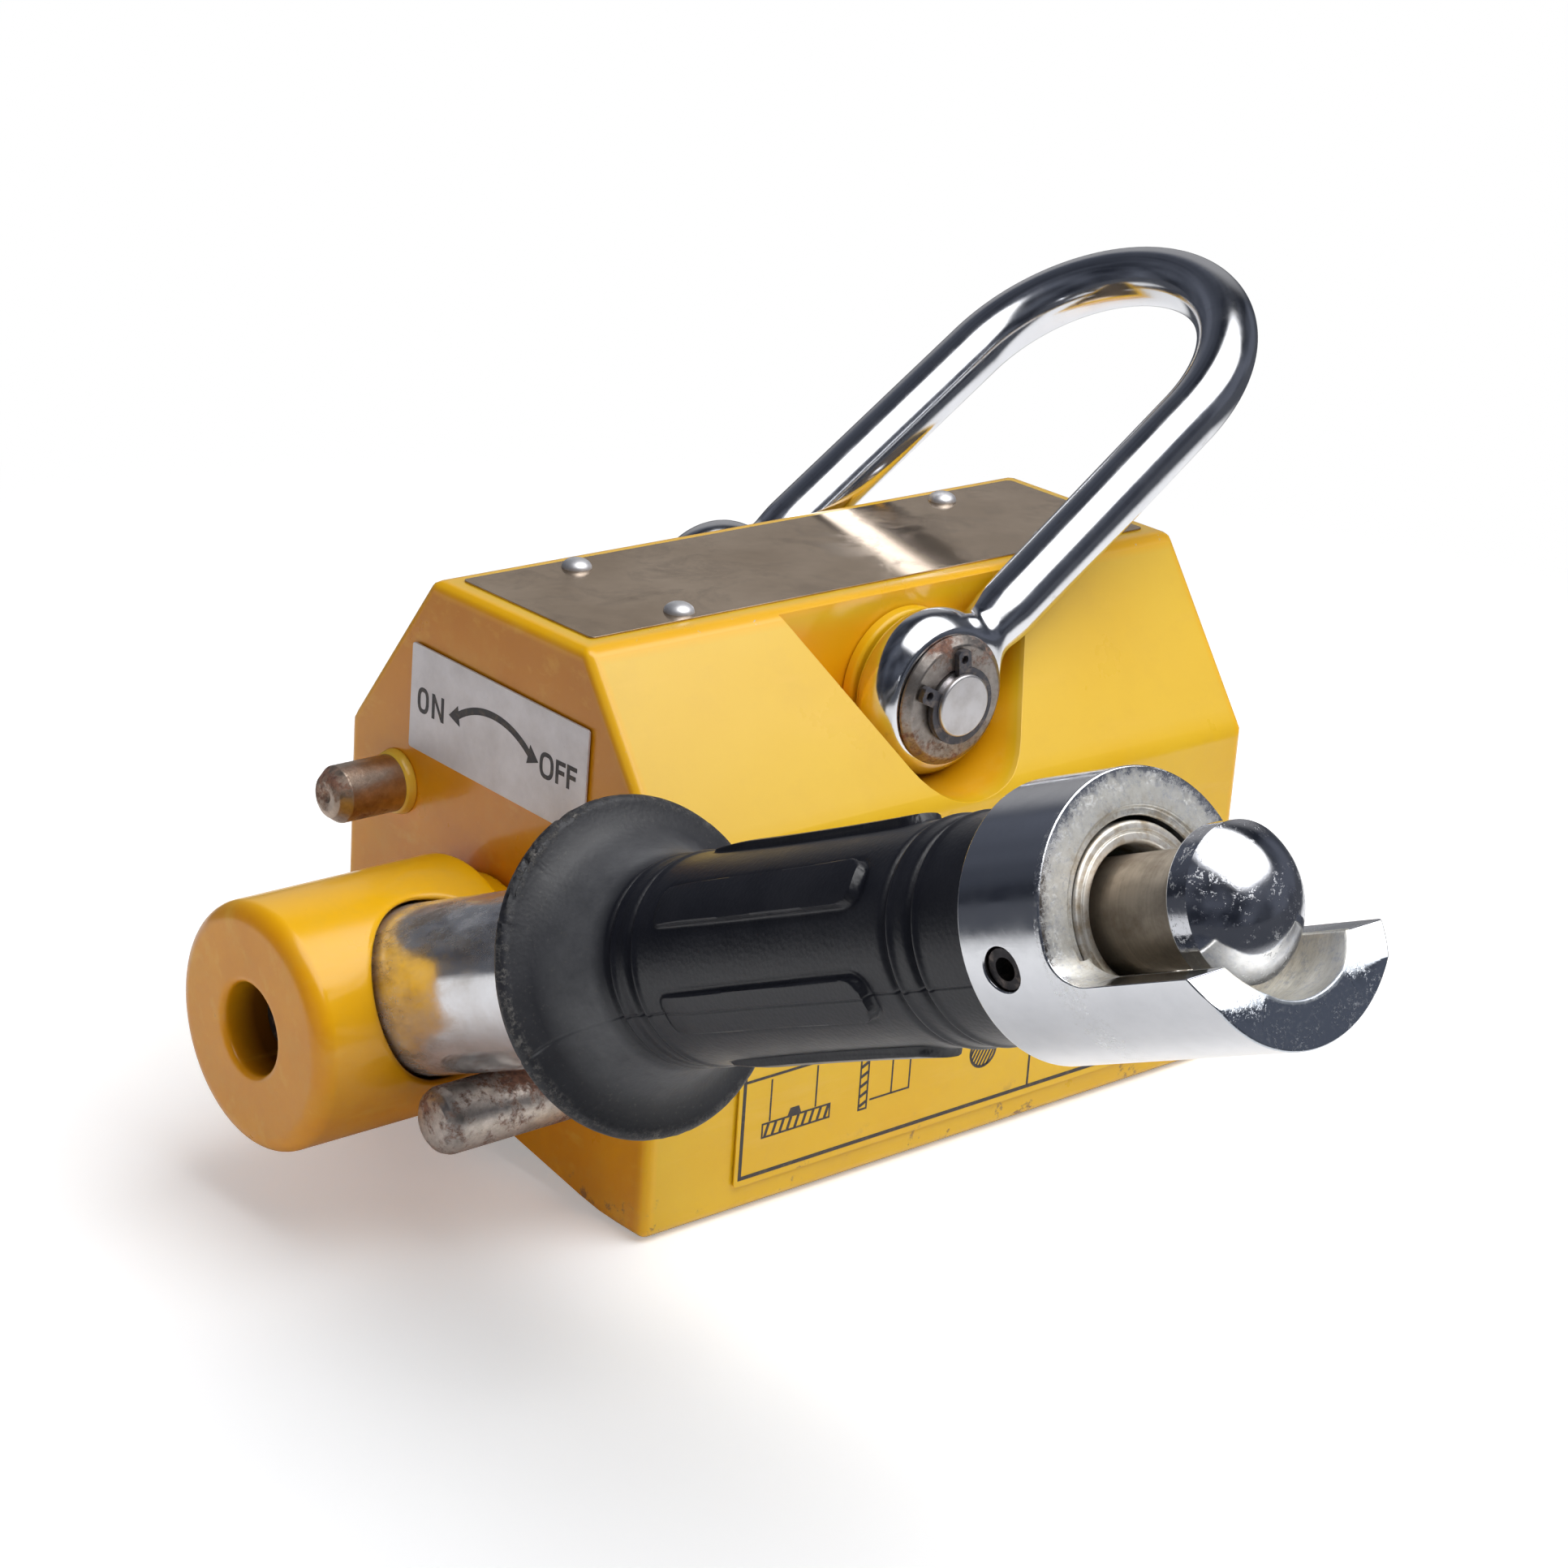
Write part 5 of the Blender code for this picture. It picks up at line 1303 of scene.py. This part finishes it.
def make_return_spring():
    """The coil round the rod's slim part."""
    low, high = 60.7 * MM, 106.8 * MM
    wire, coil = 0.6 * MM, 5.0 * MM
    turns, per_turn, sides = 8, 40, 12
    total = turns * per_turn
    bm = bmesh.new()
    rings = []
    for step in range(total + 1):
        angle = 2 * math.pi * step / per_turn
        centre = Vector((coil * math.cos(angle), coil * math.sin(angle), low + (high - low) * step / total))
        outwards = Vector((math.cos(angle), math.sin(angle), 0))
        rings.append([bm.verts.new(centre + outwards * wire * math.cos(a) + Vector((0, 0, wire * math.sin(a))))
                      for a in around(sides)])
    for first, second in zip(rings, rings[1:]):
        for side in range(sides):
            after = (side + 1) % sides
            bm.faces.new((first[side], first[after], second[after], second[side]))
    bm.faces.new(rings[0])
    bm.faces.new(rings[-1])
    mesh = mesh_from(bm, "spring_coil")
    mesh.materials.append(DARK)
    mesh.shade_smooth()
    mesh.set_sharp_from_angle(angle=math.radians(50))
    spring = placed("spring_coil", mesh, LEVER)
    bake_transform(spring)
    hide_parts("return_spring")


def dress_nodes():
    """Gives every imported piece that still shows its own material."""
    given = {
        "front_bush": BRONZE, "rear_bush": BRONZE, "shaft_seal": RUBBER, "fixed_magnet": MAGNET,
        "pole_separator": BRASS, "rotor_magnet": MAGNET, "hub_bolt": DARK,
    }
    for name, node in nodes.items():
        material = given.get(name)
        if material is None:
            material = DARK if "screw" in name else POLE
        node.data.materials.clear()
        node.data.materials.append(material)


# ---------------------------------------------------------------- stage

def area_light(name, place, target, size, power, soft=0.0):
    """A rectangular light that faces a target. Places and sizes are in millimetres, in the block's frame.

    soft fades the light towards its edges by that share of it."""
    data = bpy.data.lights.new(name, "AREA")
    data.shape = "RECTANGLE"
    data.size = size[0] * MM
    data.size_y = size[1] * MM
    data.energy = power
    if soft:
        t = Tree(data)
        centred = t.vector("SUBTRACT", t.node("NewGeometry").outputs["Parametric"], (0.5, 0.5, 0))
        across = t.node("SeparateXYZ", {0: centred}).outputs
        powers = [t.math("POWER", t.math("ABSOLUTE", across[axis]), 4) for axis in "XY"]
        root = t.math("POWER", t.plus(*powers), 0.25)
        fade = t.ramp(root, 0.5, 0.5 * (1 - soft), interpolation_type="SMOOTHSTEP")
        t.set(t.tree.nodes["Emission"], {"Strength": fade})
    turn = (Vector(place) - Vector(target)).to_track_quat("Z", "Y").to_matrix()
    obj = placed(name, data, Matrix.Translation(BLOCK @ (Vector(place) * MM)) @ turn.to_4x4())
    obj.visible_camera = False
    return obj


def radial_ramp(t, low, high):
    """0 within the radius low of the block's middle, and 1 beyond high."""
    offset = t.vector("SUBTRACT", t.node("NewGeometry").outputs["Position"], BLOCK.translation)
    return t.ramp(t.vector("LENGTH", offset), low, high, interpolation_type="SMOOTHSTEP")


def floor_material():
    """White paper that fades into an even white. The chrome sees it only close by, as on a small table."""
    material = bpy.data.materials.new("floor_paper")
    t = Tree(material)
    t.tree.nodes.clear()
    ray = t.node("LightPath").outputs
    paper = t.node("BsdfDiffuse", {"Color": (0.97, 0.97, 0.97, 1)})
    lift = t.node("Emission", {"Strength": t.times(ray["Is Camera Ray"], 0.30)})
    lifted = t.node("AddShader", {0: paper.outputs[0], 1: lift.outputs[0]})
    white = t.node("Emission")
    near = t.node("MixShader", {0: radial_ramp(t, 0.10, 0.30), 1: lifted.outputs[0], 2: white.outputs[0]})
    dark = t.node("Emission", {"Color": (0.07, 0.075, 0.09, 1)})
    glossy = t.times(radial_ramp(t, 0.19, 0.31), ray["Is Glossy Ray"])
    both = t.node("MixShader", {0: glossy, 1: near.outputs[0], 2: dark.outputs[0]})
    t.node("OutputMaterial", {0: both.outputs[0]})
    return material


def make_world():
    """A dim, uneven studio for what the chrome reflects, and a plain white one behind the object."""
    world = bpy.data.worlds.new("studio")
    bpy.context.scene.world = world
    t = Tree(world)
    t.tree.nodes.clear()
    towards = t.node("TexCoord").outputs["Generated"]
    cloud = t.node("TexNoise", {"Vector": towards, "Scale": 1.7, "Detail": 2.0})
    shades = t.node("ValToRGB", {0: cloud.outputs["Fac"]})
    low, high = shades.color_ramp.elements
    low.position, low.color = 0.36, (0.018, 0.021, 0.030, 1)
    high.position, high.color = 0.68, (0.11, 0.12, 0.15, 1)
    backdrop = t.vector("DOT_PRODUCT", towards, Vector((0.63, 0.69, 0.36)).normalized())
    glow = t.ramp(backdrop, 0.86, 0.97, interpolation_type="SMOOTHSTEP")
    dome = t.node("Background", {"Color": t.mix(glow, shades.outputs[0], (0.34, 0.34, 0.35))})
    plain = t.node("Background", {"Color": (1, 1, 1, 1)})
    seen = t.node("LightPath").outputs["Is Camera Ray"]
    mixed = t.node("MixShader", {0: seen, 1: dome.outputs[0], 2: plain.outputs[0]})
    t.node("OutputWorld", {0: mixed.outputs[0]})


def make_stage():
    scene = bpy.context.scene
    scene.view_settings.view_transform = "Standard"
    scene.view_settings.look = "None"
    bm = bmesh.new()
    bmesh.ops.create_grid(bm, x_segments=8, y_segments=8, size=4.0)
    floor = placed("floor", mesh_from(bm, "floor"))
    floor.location = (0, 0, -0.0004)
    floor.data.materials.append(floor_material())
    make_world()
    # The one big softbox, high on the right-hand front side
    area_light("softbox", (128, -255, 640), (20, -20, 60), (920, 920), 9.4, soft=0.42)
    # A weak fill from the hub's side, which the chrome doesn't see
    area_light("left_fill", (-700, -260, 150), (-60, 0, 35), (500, 400), 0.8).visible_glossy = False
    # Another behind, for the sides that face away from the softbox
    area_light("back_fill", (520, 560, 330), (0, 0, 30), (700, 500), 2.6).visible_glossy = False


def make_camera():
    """The standing view, from the hub's end and a little above."""
    right = Vector((0.75519, -0.65215, 0.06625))
    down = Vector((-0.18178, -0.30545, -0.93469))
    ahead = Vector((0.62979, 0.69383, -0.34923))
    data = bpy.data.cameras.new("camera")
    data.sensor_width = 36.0
    data.lens = 85.87
    data.clip_start = 0.01
    data.clip_end = 20
    turn = Matrix((right, -down, -ahead)).transposed().to_4x4()
    place = BLOCK @ Vector((-307.74 * MM, -335.74 * MM, 208.36 * MM))
    bpy.context.scene.camera = placed("camera", data, Matrix.Translation(place) @ turn)


dress_nodes()
make_camera()
make_stage()
make_block()
make_shackle()
make_pivots()
make_front_pins()
make_nameplate()
make_sticker()
make_label()
make_hub()
make_hub_bolt()
make_tube()
make_grip()
make_collar()
make_knob()
make_return_spring()
